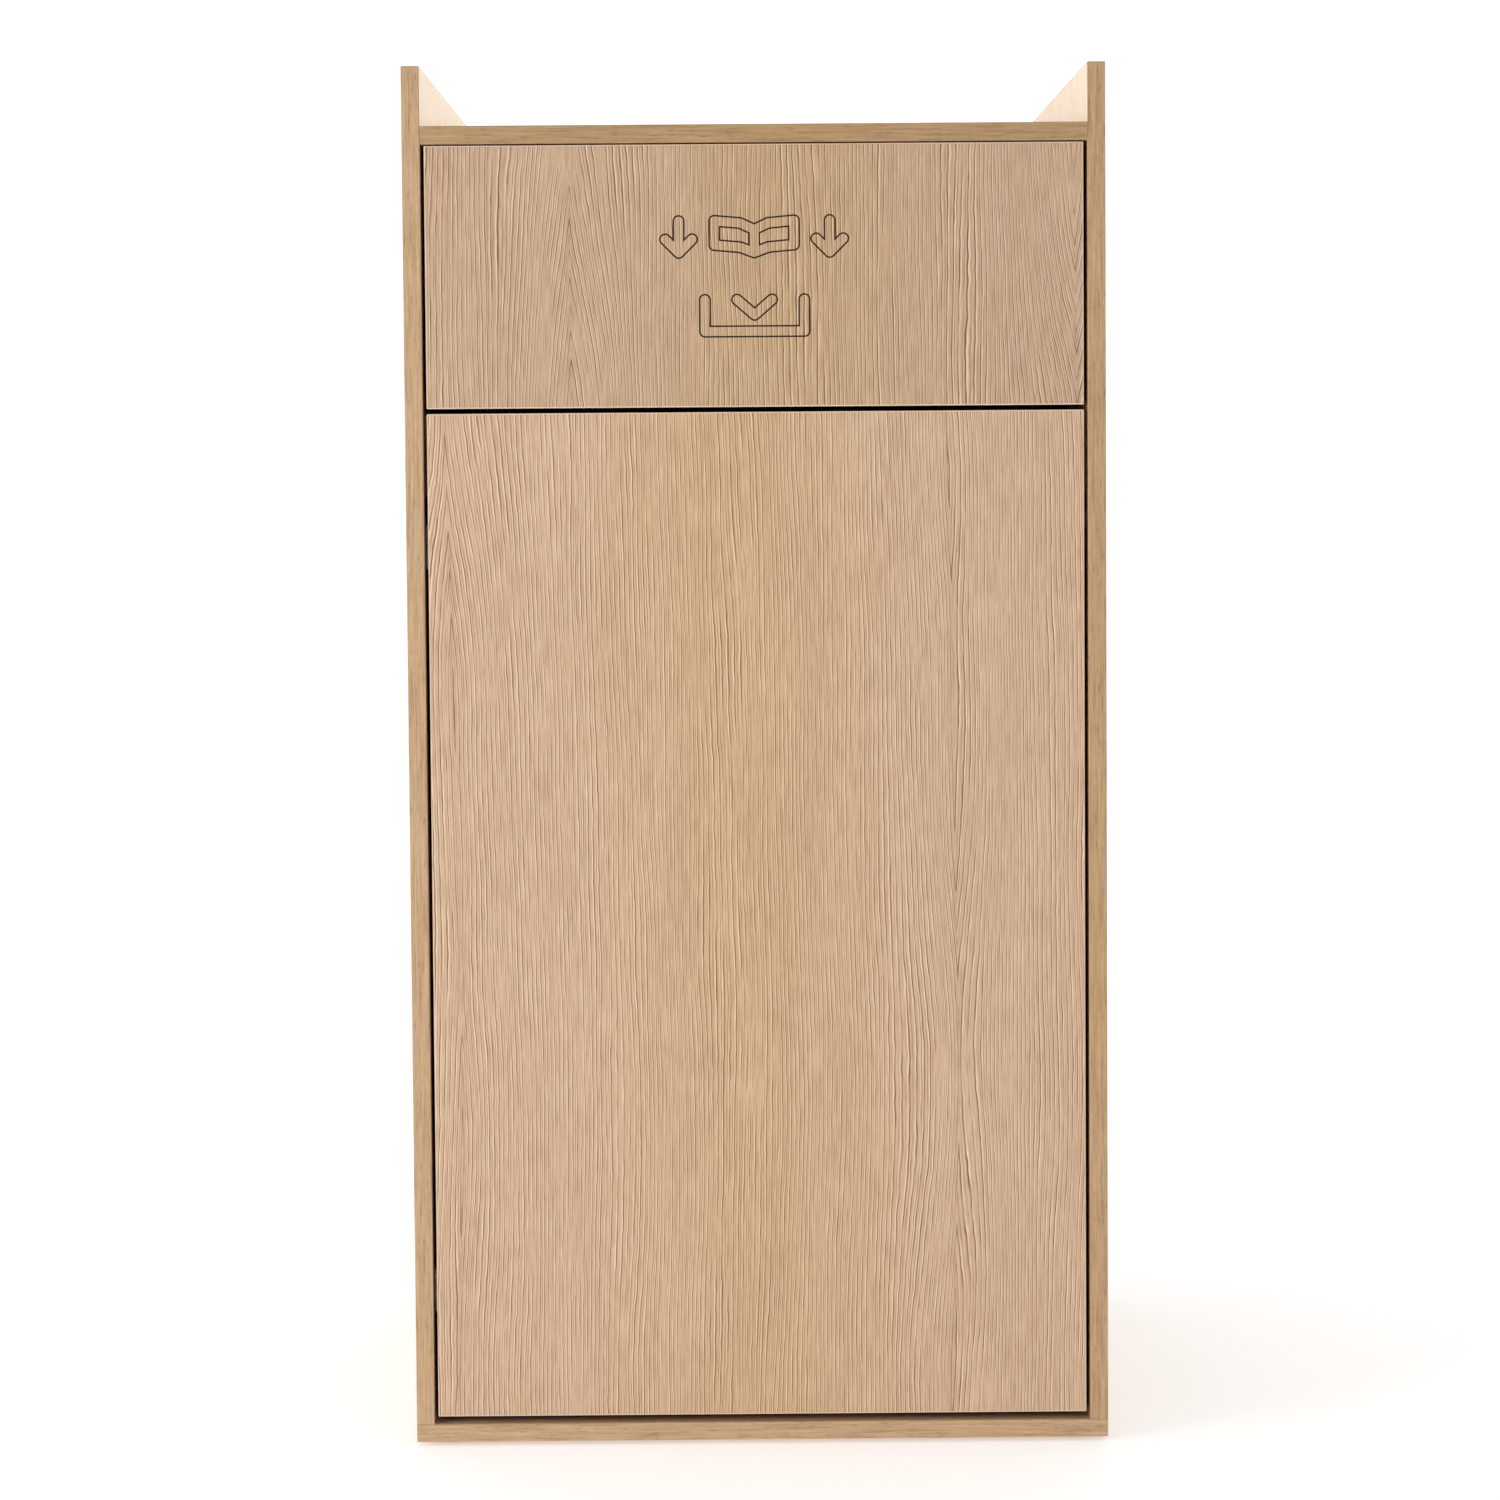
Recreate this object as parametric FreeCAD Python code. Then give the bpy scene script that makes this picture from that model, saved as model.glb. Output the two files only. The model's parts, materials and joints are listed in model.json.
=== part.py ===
import FreeCAD, Part
from collections import namedtuple
import math
import os

# Book drop box: a free-standing cabinet in laminated board with a push flap over a tall door,
# a tray top with raised side rails, and a lift-out bin inside.
# Millimetres. +X is right as seen from the front, +Y runs into the cabinet, +Z is up.
# The origin is on the floor, at the bottom centre of the footprint.

Vector = FreeCAD.Vector
RIGHT = Vector(1, 0, 0)
LEFT = Vector(-1, 0, 0)
INWARD = Vector(0, 1, 0)
FORWARD = Vector(0, -1, 0)
UP = Vector(0, 0, 1)
DOWN = Vector(0, 0, -1)

# ---------------------------------------------------------------- driving dimensions
WIDTH = 600.0
DEPTH = 600.0
HEIGHT = 1190.0
BOARD = 15.5                # board thickness
GLIDE_HEIGHT = 4.0          # the cabinet stands this far off the floor
SIDE_RAIL_HEIGHT = 51.0     # side panels above the tray
BACK_RAIL_DROP = 3.0        # back panel below the side panels' top edges

BAND = 1.0                  # edge band thickness
EDGE_RADIUS = 0.8           # rounding of banded edges
FIT = 0.05                  # clearance round a fastener in its hole
PRESS_GAP = 0.02            # clearance of a fixed pin or bush
RUNNING_CLEARANCE = 0.05    # clearance of a pin that turns
HOLE_EXTRA = 0.5            # a blind hole is this much deeper than its fastener
NEARLY = 0.01               # tolerance for finding an edge by its place

FRONT_RECESS = 2.0          # door and flap behind the frame's front edges
SIDE_GAP = 3.2              # door or flap to side panel
FLAP_TOP_GAP = 1.2
FLAP_HEIGHT = 223.8
FLAP_DOOR_GAP = 4.3
DOOR_BASE_GAP = 6.3

RAIL_HEIGHT = 70.0
RAIL_TOP_BELOW_DOOR_TOP = 1.2
RAIL_BEHIND_DOOR_FRONT = 29.0   # leaves room for the door's hinge edge as it swings

GLIDE_RADIUS = 12.5
GLIDE_INSET = 30.0
GLIDE_ROUNDING = 1.5
GLIDE_RECESS = (4.0, 1.5)   # radius and depth, for the nail's head
NAIL_RADIUS = 1.2
NAIL_HEAD = (3.4, 0.9)      # radius and height
NAIL_HEAD_Z = 0.6
NAIL_LENGTH = 14.0

CAM_RADIUS = 7.5
CAM_DEPTH = 12.5
CAM_DISTANCE = 24.0         # cam's centre from the joint between two boards
CAM_RECESS_DEPTH = 2.5
CAM_BOLT_RADIUS = 2.0
CAM_BOLT_HEAD = (3.2, 4.0)  # radius and length
CAM_BOLT_HEAD_PAST = 2.5    # bolt's end past the cam's centre
CAM_CHANNEL_GAP = 0.4       # round the bolt's head, inside the cam
CAM_CHANNEL_PAST = 3.5      # channel's end past the cam's centre
CAM_BOLT_THREAD = (2.5, 11.0)   # radius and length
DOWEL_RADIUS = 4.0
DOWEL_IN_EDGE = 21.5
DOWEL_IN_FACE = 8.0
CONFIRMAT_RADIUS = 3.5
CONFIRMAT_HEAD = (5.0, 4.0)     # radius and height
CONFIRMAT_SOCKET = (2.0, 3.0)   # radius and depth
CONFIRMAT_LENGTH = 50.0

SIDE_CONFIRMAT_Y = (-240, -80, 80, 240)
BACK_CONFIRMAT_X = (-200, 0, 200)
TOP_SIDE_CAM_Y = (-200, 200)
TOP_SIDE_DOWEL_Y = (-130, 130)
TOP_BACK_CAM_X = (-150, 150)
BACK_CAM_Z = (160, 560, 960)
BACK_DOWEL_Z = (260, 860)
RAIL_CAM_DROP = 45.0        # below the front rail's top
RAIL_DOWEL_DROP = 20.0

Screw = namedtuple("Screw", "head_radius head_height radius length")
SCREW_TIP = 2.0             # length of the tapered tip
SCREW_TIP_END = 0.3         # radius at the tip's end, as a part of the screw's
SCREW_RECESS_WIDTH = 1.1    # cross recess, as a part of the head's radius
SCREW_RECESS_DEPTH = 0.5    # as a part of the head's height

FLAP_HINGE_X = 180.0        # centre of each flap hinge, left and right of the middle
FLAP_HINGE_LENGTH = 64.0
KNUCKLE_RADIUS = 4.2
KNUCKLE_GAP = 0.3           # knuckle to the board it turns beside
KNUCKLE_NOTCH_GAP = 0.8     # knuckle to the notch cut for it in the other leaf
KNUCKLE_BORE = 3.4          # inside radius of the moving knuckle, which holds the spring
MIDDLE_KNUCKLE = 31.6       # length of the moving leaf's knuckle
KNUCKLE_END_GAP = 0.4
LEAF_THICKNESS = 1.5
LEAF_WIDTH = 30.0
LEAF_SCREW = Screw(3.2, LEAF_THICKNESS, 1.75, 13.0)
LEAF_SCREW_SPACING = 24.0
LEAF_SCREW_FROM_AXIS = 20.0
FLAP_PIN_RADIUS = 1.5
FLAP_PIN_CAP = (2.6, 1.2)   # radius and length
BUSH_LENGTH = 3.0
FLAP_SPRING_WIRE = 0.5      # wire radius
FLAP_SPRING_RADIUS = 2.5    # mean radius of the coil
FLAP_SPRING_PITCH = 1.25
FLAP_SPRING_LENGTH = 20.0

STOP_PAD = (16.0, 8.0, 1.1)
STOP_PAD_X = 236.0
STOP_PAD_FROM_FRONT = 3.0

DOOR_HINGE_Z = (130.0, 780.0)
DOOR_PIVOT_FROM_EDGE = 16.0     # door's hinge axis from its left edge
DOOR_PIVOT_FROM_FRONT = 9.0     # door's hinge axis behind its front face
CUP_RADIUS = 17.5
CUP_WALL = 1.3
CUP_DEPTH = 11.5
CUP_FROM_EDGE = 21.5
CUP_FLANGE = (38.0, 58.0, 1.2)
CUP_FLANGE_CORNER = 8.0
CUP_SCREW = Screw(3.0, CUP_FLANGE[2], 1.7, 12.0)
CUP_SCREW_SPACING = 48.0
EAR_FROM_MIDDLE = (8.0, 13.0)   # the cup's two ears hold the pin above and below the arm
EAR_HALF_WIDTH = 3.5
EAR_FRONT = 3.9             # from the pin's centre towards the door's front
EAR_BACK = 3.0
DOOR_PIN_RADIUS = 1.5
DOOR_PIN_LENGTH = 26.0
ARM_WIDTH = 14.0
ARM_THICKNESS = 2.0
ARM_EYE_RADIUS = 3.4
ARM_REACH = 13.5            # from the pin sideways to the arm's crank
ARM_RISE = 21.0             # from the pin inward to the arm's cross piece
ARM_SHORT_OF_PLATE = 2.0    # arm's end before the plate's far end
ARM_SCREW = Screw(3.6, 1.8, 2.0, 12.0)
ARM_SCREW_ALONG = 46.0      # from the plate's near end
PLATE_THICKNESS = 3.0
PLATE_LENGTH = 58.0
PLATE_HEIGHT = 44.0
PLATE_CORNER = 6.0
PLATE_SCREW = Screw(3.4, 2.0, 1.9, 15.0)
PLATE_SCREW_ALONG = 34.0
PLATE_SCREW_UP = 15.0       # above and below the hinge's middle

LATCH_Z = 800.0
LATCH_SIZE = 14.0           # housing is square in section
LATCH_LENGTH = 76.0
LATCH_ROUNDING = 3.0
LATCH_BEHIND_DOOR = 5.5
LATCH_END_WALL = 6.0        # solid end behind the plunger's bore
WING_THICKNESS = 2.5
WING_FROM_FRONT = (26.0, 50.0)
WING_REACH = 9.0            # above and below the housing
LATCH_SCREW = Screw(3.0, 1.8, 1.6, 13.0)
LATCH_SCREW_REACH = 4.5
PLUNGER_RADIUS = 4.5
PLUNGER_BORE = 4.8
PLUNGER_LENGTH = 60.0
PLUNGER_ROUNDING = 0.8
PLUNGER_TIP_GAP = 0.3
STRIKE_THICKNESS = 1.2
STRIKE_RADIUS = 7.5
STRIKE_OFFSET = 5.0         # strike's centre from the plunger's axis, towards the hinges
STRIKE_SCREW = Screw(2.6, 1.1, 1.5, 11.0)
STRIKE_SCREW_OFFSET = 2.5   # from the strike's centre, the same way
LATCH_SPRING_RADIUS = 3.2
LATCH_SPRING_WIRE = 0.4
LATCH_SPRING_PITCH = 1.8
LATCH_SPRING_GAP = 1.0      # at each end

BIN_HEIGHT = 700.0
BIN_BOTTOM_HALF = 200.0
BIN_TOP_HALF = 232.0
BIN_RIM_HALF = 246.0
BIN_CORNER_BOTTOM = 45.0
BIN_CORNER_TOP = 55.0
BIN_WALL = 3.0
BIN_LIP_HEIGHT = 20.0
BIN_GRIP = (130.0, 38.0)    # length and height of the deeper lip at each side
BIN_FOOT = (3.0, 22.0)      # height and width of the ring that the bin stands on
BIN_Y = 8.0

GROOVE_DEPTH = 2.0
GROOVE_WIDTH = 1.4
STROKE_RADIUS = 4.5         # half the width of a pictogram stroke
PICTOGRAM_UPPER_Z = 1043.5
PICTOGRAM_LOWER_Z = 976.4
FIGURE_HALF_HEIGHT = 13.5   # of each of the pictogram's figures, to the strokes' centres
PAGE_WIDTH = 34.0
PAGE_BEND = 12.0            # from the book's spine to where the page curls down
ARROW_X = 64.5
ARROW_BARB = 11.5
TRAY_HALF = 42.5
CHEVRON_HALF = 15.0

# ---------------------------------------------------------------- derived places
HALF_WIDTH = WIDTH / 2
INNER = HALF_WIDTH - BOARD          # inner faces of the side panels
FRONT = -DEPTH / 2
BACK = DEPTH / 2
BACK_PANEL_FRONT = BACK - BOARD
BASE_TOP = GLIDE_HEIGHT + BOARD
TRAY_TOP = HEIGHT - SIDE_RAIL_HEIGHT
TOP_UNDERSIDE = TRAY_TOP - BOARD

DOOR_HALF = INNER - SIDE_GAP
DOOR_FRONT = FRONT + FRONT_RECESS
DOOR_BACK = DOOR_FRONT + BOARD
FLAP_TOP = TOP_UNDERSIDE - FLAP_TOP_GAP
FLAP_BOTTOM = FLAP_TOP - FLAP_HEIGHT
DOOR_TOP = FLAP_BOTTOM - FLAP_DOOR_GAP
DOOR_BOTTOM = BASE_TOP + DOOR_BASE_GAP

RAIL_TOP = DOOR_TOP - RAIL_TOP_BELOW_DOOR_TOP
RAIL_FRONT = DOOR_FRONT + RAIL_BEHIND_DOOR_FRONT
RAIL_BACK = RAIL_FRONT + BOARD

FLAP_AXIS_Y = DOOR_BACK + KNUCKLE_RADIUS + KNUCKLE_GAP
FLAP_AXIS_Z = TOP_UNDERSIDE - KNUCKLE_RADIUS - KNUCKLE_GAP
DOOR_AXIS_X = -DOOR_HALF + DOOR_PIVOT_FROM_EDGE
DOOR_AXIS_Y = DOOR_FRONT + DOOR_PIVOT_FROM_FRONT


class Cabinet:
    """Collects each node's solids, and the pockets that are cut from them at the end."""

    def __init__(self):
        self.solids = {}
        self.pockets = {}

    def add(self, node, *solids):
        self.solids.setdefault(node, []).extend(solids)

    def pocket(self, node, *tools):
        self.pockets.setdefault(node, []).extend(tools)

    def finished(self, node):
        solids = self.solids[node]
        tools = self.pockets.get(node, [])
        if tools:
            solids = [solid.cut(tools) for solid in solids]
        return Part.makeCompound(solids) if len(solids) > 1 else solids[0]


# ---------------------------------------------------------------- basic shapes
def box(x0, x1, y0, y1, z0, z1):
    return Part.makeBox(x1 - x0, y1 - y0, z1 - z0, Vector(x0, y0, z0))


def rod(radius, start, direction, length):
    return Part.makeCylinder(radius, length, start, direction)


def tube(outer, inner, start, direction, length):
    return rod(outer, start, direction, length).cut(rod(inner, start, direction, length))


def fuse(shapes):
    return shapes[0].multiFuse(shapes[1:]).removeSplitter()


def side_vector(direction):
    """A unit vector square to a direction that lies along an axis."""
    return UP if abs(direction.z) < 0.5 else RIGHT


def rounded_square(half, corner, centre_y, z):
    """A closed wire: a square with rounded corners, level, at height z."""
    straight = half - corner
    bend = half - corner + corner * math.sqrt(0.5)
    edges = []
    for turn in range(4):
        angle = math.pi / 2 * turn

        def place(x, y):
            along = x * math.cos(angle) - y * math.sin(angle)
            across = x * math.sin(angle) + y * math.cos(angle)
            return Vector(along, centre_y + across, z)

        edges.append(Part.makeLine(place(half, -straight), place(half, straight)))
        arc = Part.Arc(place(half, straight), place(bend, bend), place(straight, half))
        edges.append(arc.toShape())
    return Part.Wire(edges)


def level_plate(half, corner, centre_y, z, height):
    return Part.Face(rounded_square(half, corner, centre_y, z)).extrude(UP * height)


def coil(mean_radius, wire_radius, pitch, length, start, axis_is_x):
    """A round-wire helix that starts at a point and runs along +X or +Y."""
    helix = Part.makeHelix(pitch, length, mean_radius)
    section = Part.Wire(Part.makeCircle(wire_radius, Vector(mean_radius, 0, 0), INWARD))
    spring = Part.Wire(helix).makePipeShell([section], True, True)
    axis, angle = (INWARD, 90) if axis_is_x else (RIGHT, -90)
    spring.rotate(Vector(0, 0, 0), axis, angle)
    spring.translate(start)
    return spring


# ---------------------------------------------------------------- boards and edge bands
SIDES = {"left": (0, 0), "right": (0, 1), "front": (1, 0), "back": (1, 1),
         "bottom": (2, 0), "top": (2, 1)}


def sides_of_edge(edge, low, high):
    """The names of the two sides of the box low..high that an edge of it lies on."""
    middle = edge.CenterOfMass
    found = []
    for name, (axis, end) in SIDES.items():
        if abs(middle[axis] - (low, high)[end][axis]) < 1e-6:
            found.append(name)
    return found


def add_board(cabinet, node, low, high, banded):
    """A board whose banded sides carry a rounded edge band, in a node of its own."""
    spans = [high[axis] - low[axis] for axis in range(3)]
    thin_axis = spans.index(min(spans))
    block = box(low[0], high[0], low[1], high[1], low[2], high[2])
    rounded = []
    for edge in block.Edges:
        names = sides_of_edge(edge, low, high)
        others = [name for name in names if name not in banded]
        if len(others) < 2 and all(SIDES[name][0] == thin_axis for name in others):
            rounded.append(edge)
    block = block.makeFillet(EDGE_RADIUS, rounded)
    bands = []
    for name in banded:
        axis, end = SIDES[name]
        slab_low, slab_high = list(low), list(high)
        if end:
            slab_low[axis] = high[axis] - BAND
        else:
            slab_high[axis] = low[axis] + BAND
        slab = box(slab_low[0], slab_high[0], slab_low[1], slab_high[1], slab_low[2], slab_high[2])
        bands.append(block.common(slab))
        block = block.cut(slab)
    cabinet.add(node, block)
    cabinet.add(node + "_edge_band", *bands)


def add_boards(cabinet):
    add_board(cabinet, "base_board", (-HALF_WIDTH, FRONT, GLIDE_HEIGHT),
              (HALF_WIDTH, BACK, BASE_TOP), ("front", "left", "right", "back"))
    add_board(cabinet, "left_side_panel", (-HALF_WIDTH, FRONT, BASE_TOP),
              (-INNER, BACK, HEIGHT), ("front", "top", "back"))
    add_board(cabinet, "right_side_panel", (INNER, FRONT, BASE_TOP),
              (HALF_WIDTH, BACK, HEIGHT), ("front", "top", "back"))
    add_board(cabinet, "top_board", (-INNER, FRONT, TOP_UNDERSIDE),
              (INNER, BACK_PANEL_FRONT, TRAY_TOP), ("front",))
    add_board(cabinet, "back_panel", (-INNER, BACK_PANEL_FRONT, BASE_TOP),
              (INNER, BACK, HEIGHT - BACK_RAIL_DROP), ("top",))
    add_board(cabinet, "front_rail", (-INNER, RAIL_FRONT, RAIL_TOP - RAIL_HEIGHT),
              (INNER, RAIL_BACK, RAIL_TOP), ("top", "bottom"))
    around = ("left", "right", "bottom", "top")
    add_board(cabinet, "door_panel", (-DOOR_HALF, DOOR_FRONT, DOOR_BOTTOM),
              (DOOR_HALF, DOOR_BACK, DOOR_TOP), around)
    add_board(cabinet, "flap_panel", (-DOOR_HALF, DOOR_FRONT, FLAP_BOTTOM),
              (DOOR_HALF, DOOR_BACK, FLAP_TOP), around)


# ---------------------------------------------------------------- engraved pictogram
def stroke(start, end, radius):
    """A straight stroke with round ends, as a solid that reaches GROOVE_DEPTH into the flap."""
    depth = GROOVE_DEPTH
    first = Vector(start[0], DOOR_FRONT, start[1])
    last = Vector(end[0], DOOR_FRONT, end[1])
    along = last - first
    length = along.Length
    bar = Part.makeBox(length, depth, 2 * radius, Vector(0, 0, -radius))
    bar.rotate(Vector(0, 0, 0), INWARD, -math.degrees(math.atan2(along.z, along.x)))
    bar.translate(first)
    return [bar, rod(radius, first, INWARD, depth), rod(radius, last, INWARD, depth)]


def outlined(lines, centre_x, centre_z):
    """The narrow groove round a figure drawn with round-ended strokes."""
    solids = []
    for radius in (STROKE_RADIUS + GROOVE_WIDTH / 2, STROKE_RADIUS - GROOVE_WIDTH / 2):
        bars = []
        for points in lines:
            placed = [(x + centre_x, z + centre_z) for x, z in points]
            for start, end in zip(placed, placed[1:]):
                bars.extend(stroke(start, end, radius))
        solids.append(fuse(bars))
    return solids[0].cut(solids[1])


def cut_pictogram(cabinet):
    """An open book between two down arrows, above a tray with a chevron."""
    top, bottom = FIGURE_HALF_HEIGHT, -FIGURE_HALF_HEIGHT
    spine_top = (0, top - 7.5)
    spine_bottom = (0, bottom)
    page = [spine_top, (-PAGE_BEND, top - 2), (-PAGE_WIDTH, top), (-PAGE_WIDTH, bottom + 6.5),
            (-PAGE_BEND, bottom + 4.5), spine_bottom, spine_top]
    other_page = [(-x, z) for x, z in page]
    barbs = [(-ARROW_BARB, bottom + ARROW_BARB), (0, bottom), (ARROW_BARB, bottom + ARROW_BARB)]
    arrow = [[(0, top), (0, bottom)], barbs]
    tray = [[(-TRAY_HALF, top), (-TRAY_HALF, bottom), (TRAY_HALF, bottom), (TRAY_HALF, top)]]
    chevron = [[(-CHEVRON_HALF, top), (0, top - 13), (CHEVRON_HALF, top)]]
    cabinet.pocket(
        "flap_panel",
        outlined([page, other_page], 0, PICTOGRAM_UPPER_Z),
        outlined(arrow, -ARROW_X, PICTOGRAM_UPPER_Z),
        outlined(arrow, ARROW_X, PICTOGRAM_UPPER_Z),
        outlined(tray, 0, PICTOGRAM_LOWER_Z),
        outlined(chevron, 0, PICTOGRAM_LOWER_Z),
    )


# ---------------------------------------------------------------- screws and joints of boards
def cross_recess(point, direction, width, depth):
    """Two crossed slots, cut into a face from a point along a direction."""
    sideways = side_vector(direction)
    other = direction.cross(sideways)
    thin = width / 5
    slots = []
    for along, across in ((sideways, other), (other, sideways)):
        corner = point - along * (width / 2) - across * (thin / 2)
        outline = [corner, corner + along * width, corner + along * width + across * thin,
                   corner + across * thin, corner]
        slots.append(Part.Face(Part.makePolygon(outline)).extrude(direction * depth))
    return slots


def wood_screw(point, direction, size):
    """A countersunk screw whose head's face is at a point, driven along a direction."""
    head = Part.makeCone(size.head_radius, size.radius, size.head_height, point, direction)
    tip_start = point + direction * (size.length - SCREW_TIP)
    shank = rod(size.radius, point + direction * size.head_height, direction,
                size.length - size.head_height - SCREW_TIP)
    tip = Part.makeCone(size.radius, size.radius * SCREW_TIP_END, SCREW_TIP, tip_start, direction)
    recess = cross_recess(point, direction, size.head_radius * SCREW_RECESS_WIDTH,
                          size.head_height * SCREW_RECESS_DEPTH)
    return fuse([head, shank, tip]).cut(recess)


def screw_hole(point, direction, size):
    """The countersunk hole of the same screw."""
    head = Part.makeCone(size.head_radius + FIT, size.radius + FIT, size.head_height, point,
                         direction)
    return [head, rod(size.radius + FIT, point, direction, size.length + HOLE_EXTRA)]


def add_screw(cabinet, node, held, point, direction, size):
    """A screw in its node, and its hole in each board or leaf that it holds."""
    cabinet.add(node, wood_screw(point, direction, size))
    for name in held:
        cabinet.pocket(name, *screw_hole(point, direction, size))


def add_cam_joint(cabinet, point, into, face, cam_board, bolt_board):
    """A cam disc in one board and its bolt in the other.

    point is on the joint at mid thickness, into points along the cam's board, and face is the
    direction out of the side that shows the cam.
    """
    centre = point + into * CAM_DISTANCE
    mouth = centre + face * (BOARD / 2)
    inward = face * -1
    head_radius, head_length = CAM_BOLT_HEAD
    thread_radius, thread_length = CAM_BOLT_THREAD
    disc = rod(CAM_RADIUS - FIT, mouth, inward, CAM_DEPTH - 2 * FIT)
    channel_start = centre - into * (CAM_RADIUS + HOLE_EXTRA)
    channel = rod(head_radius + CAM_CHANNEL_GAP, channel_start, into,
                  CAM_RADIUS + HOLE_EXTRA + CAM_CHANNEL_PAST)
    disc = disc.cut([channel] + cross_recess(mouth, inward, CAM_RADIUS, CAM_RECESS_DEPTH))
    neck = rod(CAM_BOLT_RADIUS, point, into, CAM_DISTANCE)
    head = rod(head_radius, centre + into * (CAM_BOLT_HEAD_PAST - head_length), into, head_length)
    thread = rod(thread_radius, point, into * -1, thread_length)
    cabinet.add("cam_discs", disc)
    cabinet.add("cam_bolts", fuse([neck, head, thread]))
    cabinet.pocket(cam_board, rod(CAM_RADIUS, mouth, inward, CAM_DEPTH),
                   rod(DOWEL_RADIUS, point, into, CAM_DISTANCE))
    cabinet.pocket(bolt_board, rod(thread_radius + FIT, point, into * -1,
                                   thread_length + HOLE_EXTRA))


def add_dowel(cabinet, point, into, edge_board, face_board):
    """A dowel across a joint: its long end in a board's edge, its short end in a face."""
    start = point - into * DOWEL_IN_FACE
    cabinet.add("wood_dowels", rod(DOWEL_RADIUS, start, into, DOWEL_IN_FACE + DOWEL_IN_EDGE))
    hole_radius = DOWEL_RADIUS + FIT
    cabinet.pocket(edge_board, rod(hole_radius, point, into, DOWEL_IN_EDGE + HOLE_EXTRA))
    cabinet.pocket(face_board, rod(hole_radius, point, into * -1, DOWEL_IN_FACE + HOLE_EXTRA))


def add_confirmat(cabinet, x, y, upright):
    """A screw from under the base board into the lower edge of an upright board."""
    start = Vector(x, y, GLIDE_HEIGHT)
    head_radius, head_height = CONFIRMAT_HEAD
    socket_radius, socket_depth = CONFIRMAT_SOCKET
    head = rod(head_radius, start, UP, head_height)
    shank = rod(CONFIRMAT_RADIUS, start, UP, CONFIRMAT_LENGTH)
    socket = rod(socket_radius, start, UP, socket_depth)
    cabinet.add("confirmat_screws", fuse([head, shank]).cut(socket))
    hole = rod(CONFIRMAT_RADIUS + FIT, start, UP, CONFIRMAT_LENGTH + HOLE_EXTRA)
    cabinet.pocket("base_board", hole, rod(head_radius + FIT, start, UP, head_height + FIT))
    cabinet.pocket(upright, hole)


def join_side(cabinet, side, sign):
    """What holds one side panel to the base, the top, the back and the front rail."""
    mid_board = BOARD / 2
    joint_x = sign * INNER
    inner_way = RIGHT * -sign
    top_z = TOP_UNDERSIDE + mid_board
    back_y = BACK_PANEL_FRONT + mid_board
    rail_y = RAIL_FRONT + mid_board
    for y in SIDE_CONFIRMAT_Y:
        add_confirmat(cabinet, sign * (HALF_WIDTH - mid_board), y, side)
    for y in TOP_SIDE_CAM_Y:
        add_cam_joint(cabinet, Vector(joint_x, y, top_z), inner_way, DOWN, "top_board", side)
    for y in TOP_SIDE_DOWEL_Y:
        add_dowel(cabinet, Vector(joint_x, y, top_z), inner_way, "top_board", side)
    for z in BACK_CAM_Z:
        add_cam_joint(cabinet, Vector(joint_x, back_y, z), inner_way, FORWARD, "back_panel", side)
    for z in BACK_DOWEL_Z:
        add_dowel(cabinet, Vector(joint_x, back_y, z), inner_way, "back_panel", side)
    cam_place = Vector(joint_x, rail_y, RAIL_TOP - RAIL_CAM_DROP)
    add_cam_joint(cabinet, cam_place, inner_way, INWARD, "front_rail", side)
    dowel_place = Vector(joint_x, rail_y, RAIL_TOP - RAIL_DOWEL_DROP)
    add_dowel(cabinet, dowel_place, inner_way, "front_rail", side)


def join_boards(cabinet):
    join_side(cabinet, "left_side_panel", -1)
    join_side(cabinet, "right_side_panel", 1)
    for x in BACK_CONFIRMAT_X:
        add_confirmat(cabinet, x, BACK_PANEL_FRONT + BOARD / 2, "back_panel")
    for x in TOP_BACK_CAM_X:
        place = Vector(x, BACK_PANEL_FRONT, TOP_UNDERSIDE + BOARD / 2)
        add_cam_joint(cabinet, place, FORWARD, DOWN, "top_board", "back_panel")


# ---------------------------------------------------------------- glides
def add_glide(cabinet, name, x, y):
    """A moulded disc under the base board, and the nail that holds it."""
    foot = Vector(x, y, 0)
    glide = rod(GLIDE_RADIUS, foot, UP, GLIDE_HEIGHT)
    lower_rim = [edge for edge in glide.Edges
                 if edge.CenterOfMass.z < NEARLY and len(edge.Vertexes) == 1]
    glide = glide.makeFillet(GLIDE_ROUNDING, lower_rim)
    recess_radius, recess_depth = GLIDE_RECESS
    recess = rod(recess_radius, foot, UP, recess_depth)
    hole = rod(NAIL_RADIUS + FIT, foot, UP, GLIDE_HEIGHT)
    cabinet.add(name, glide.cut([recess, hole]))
    head_radius, head_height = NAIL_HEAD
    nail_start = Vector(x, y, NAIL_HEAD_Z)
    head = rod(head_radius, nail_start, UP, head_height)
    shank = rod(NAIL_RADIUS, nail_start, UP, NAIL_LENGTH)
    cabinet.add("glide_nails", fuse([head, shank]))
    cabinet.pocket("base_board", rod(NAIL_RADIUS + FIT, Vector(x, y, GLIDE_HEIGHT), UP,
                                     NAIL_LENGTH))


def add_glides(cabinet):
    for depth_name, y in (("front", FRONT + GLIDE_INSET), ("rear", BACK - GLIDE_INSET)):
        for side_name, sign in (("left", -1), ("right", 1)):
            x = sign * (HALF_WIDTH - GLIDE_INSET)
            add_glide(cabinet, f"{depth_name}_{side_name}_glide", x, y)


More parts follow.
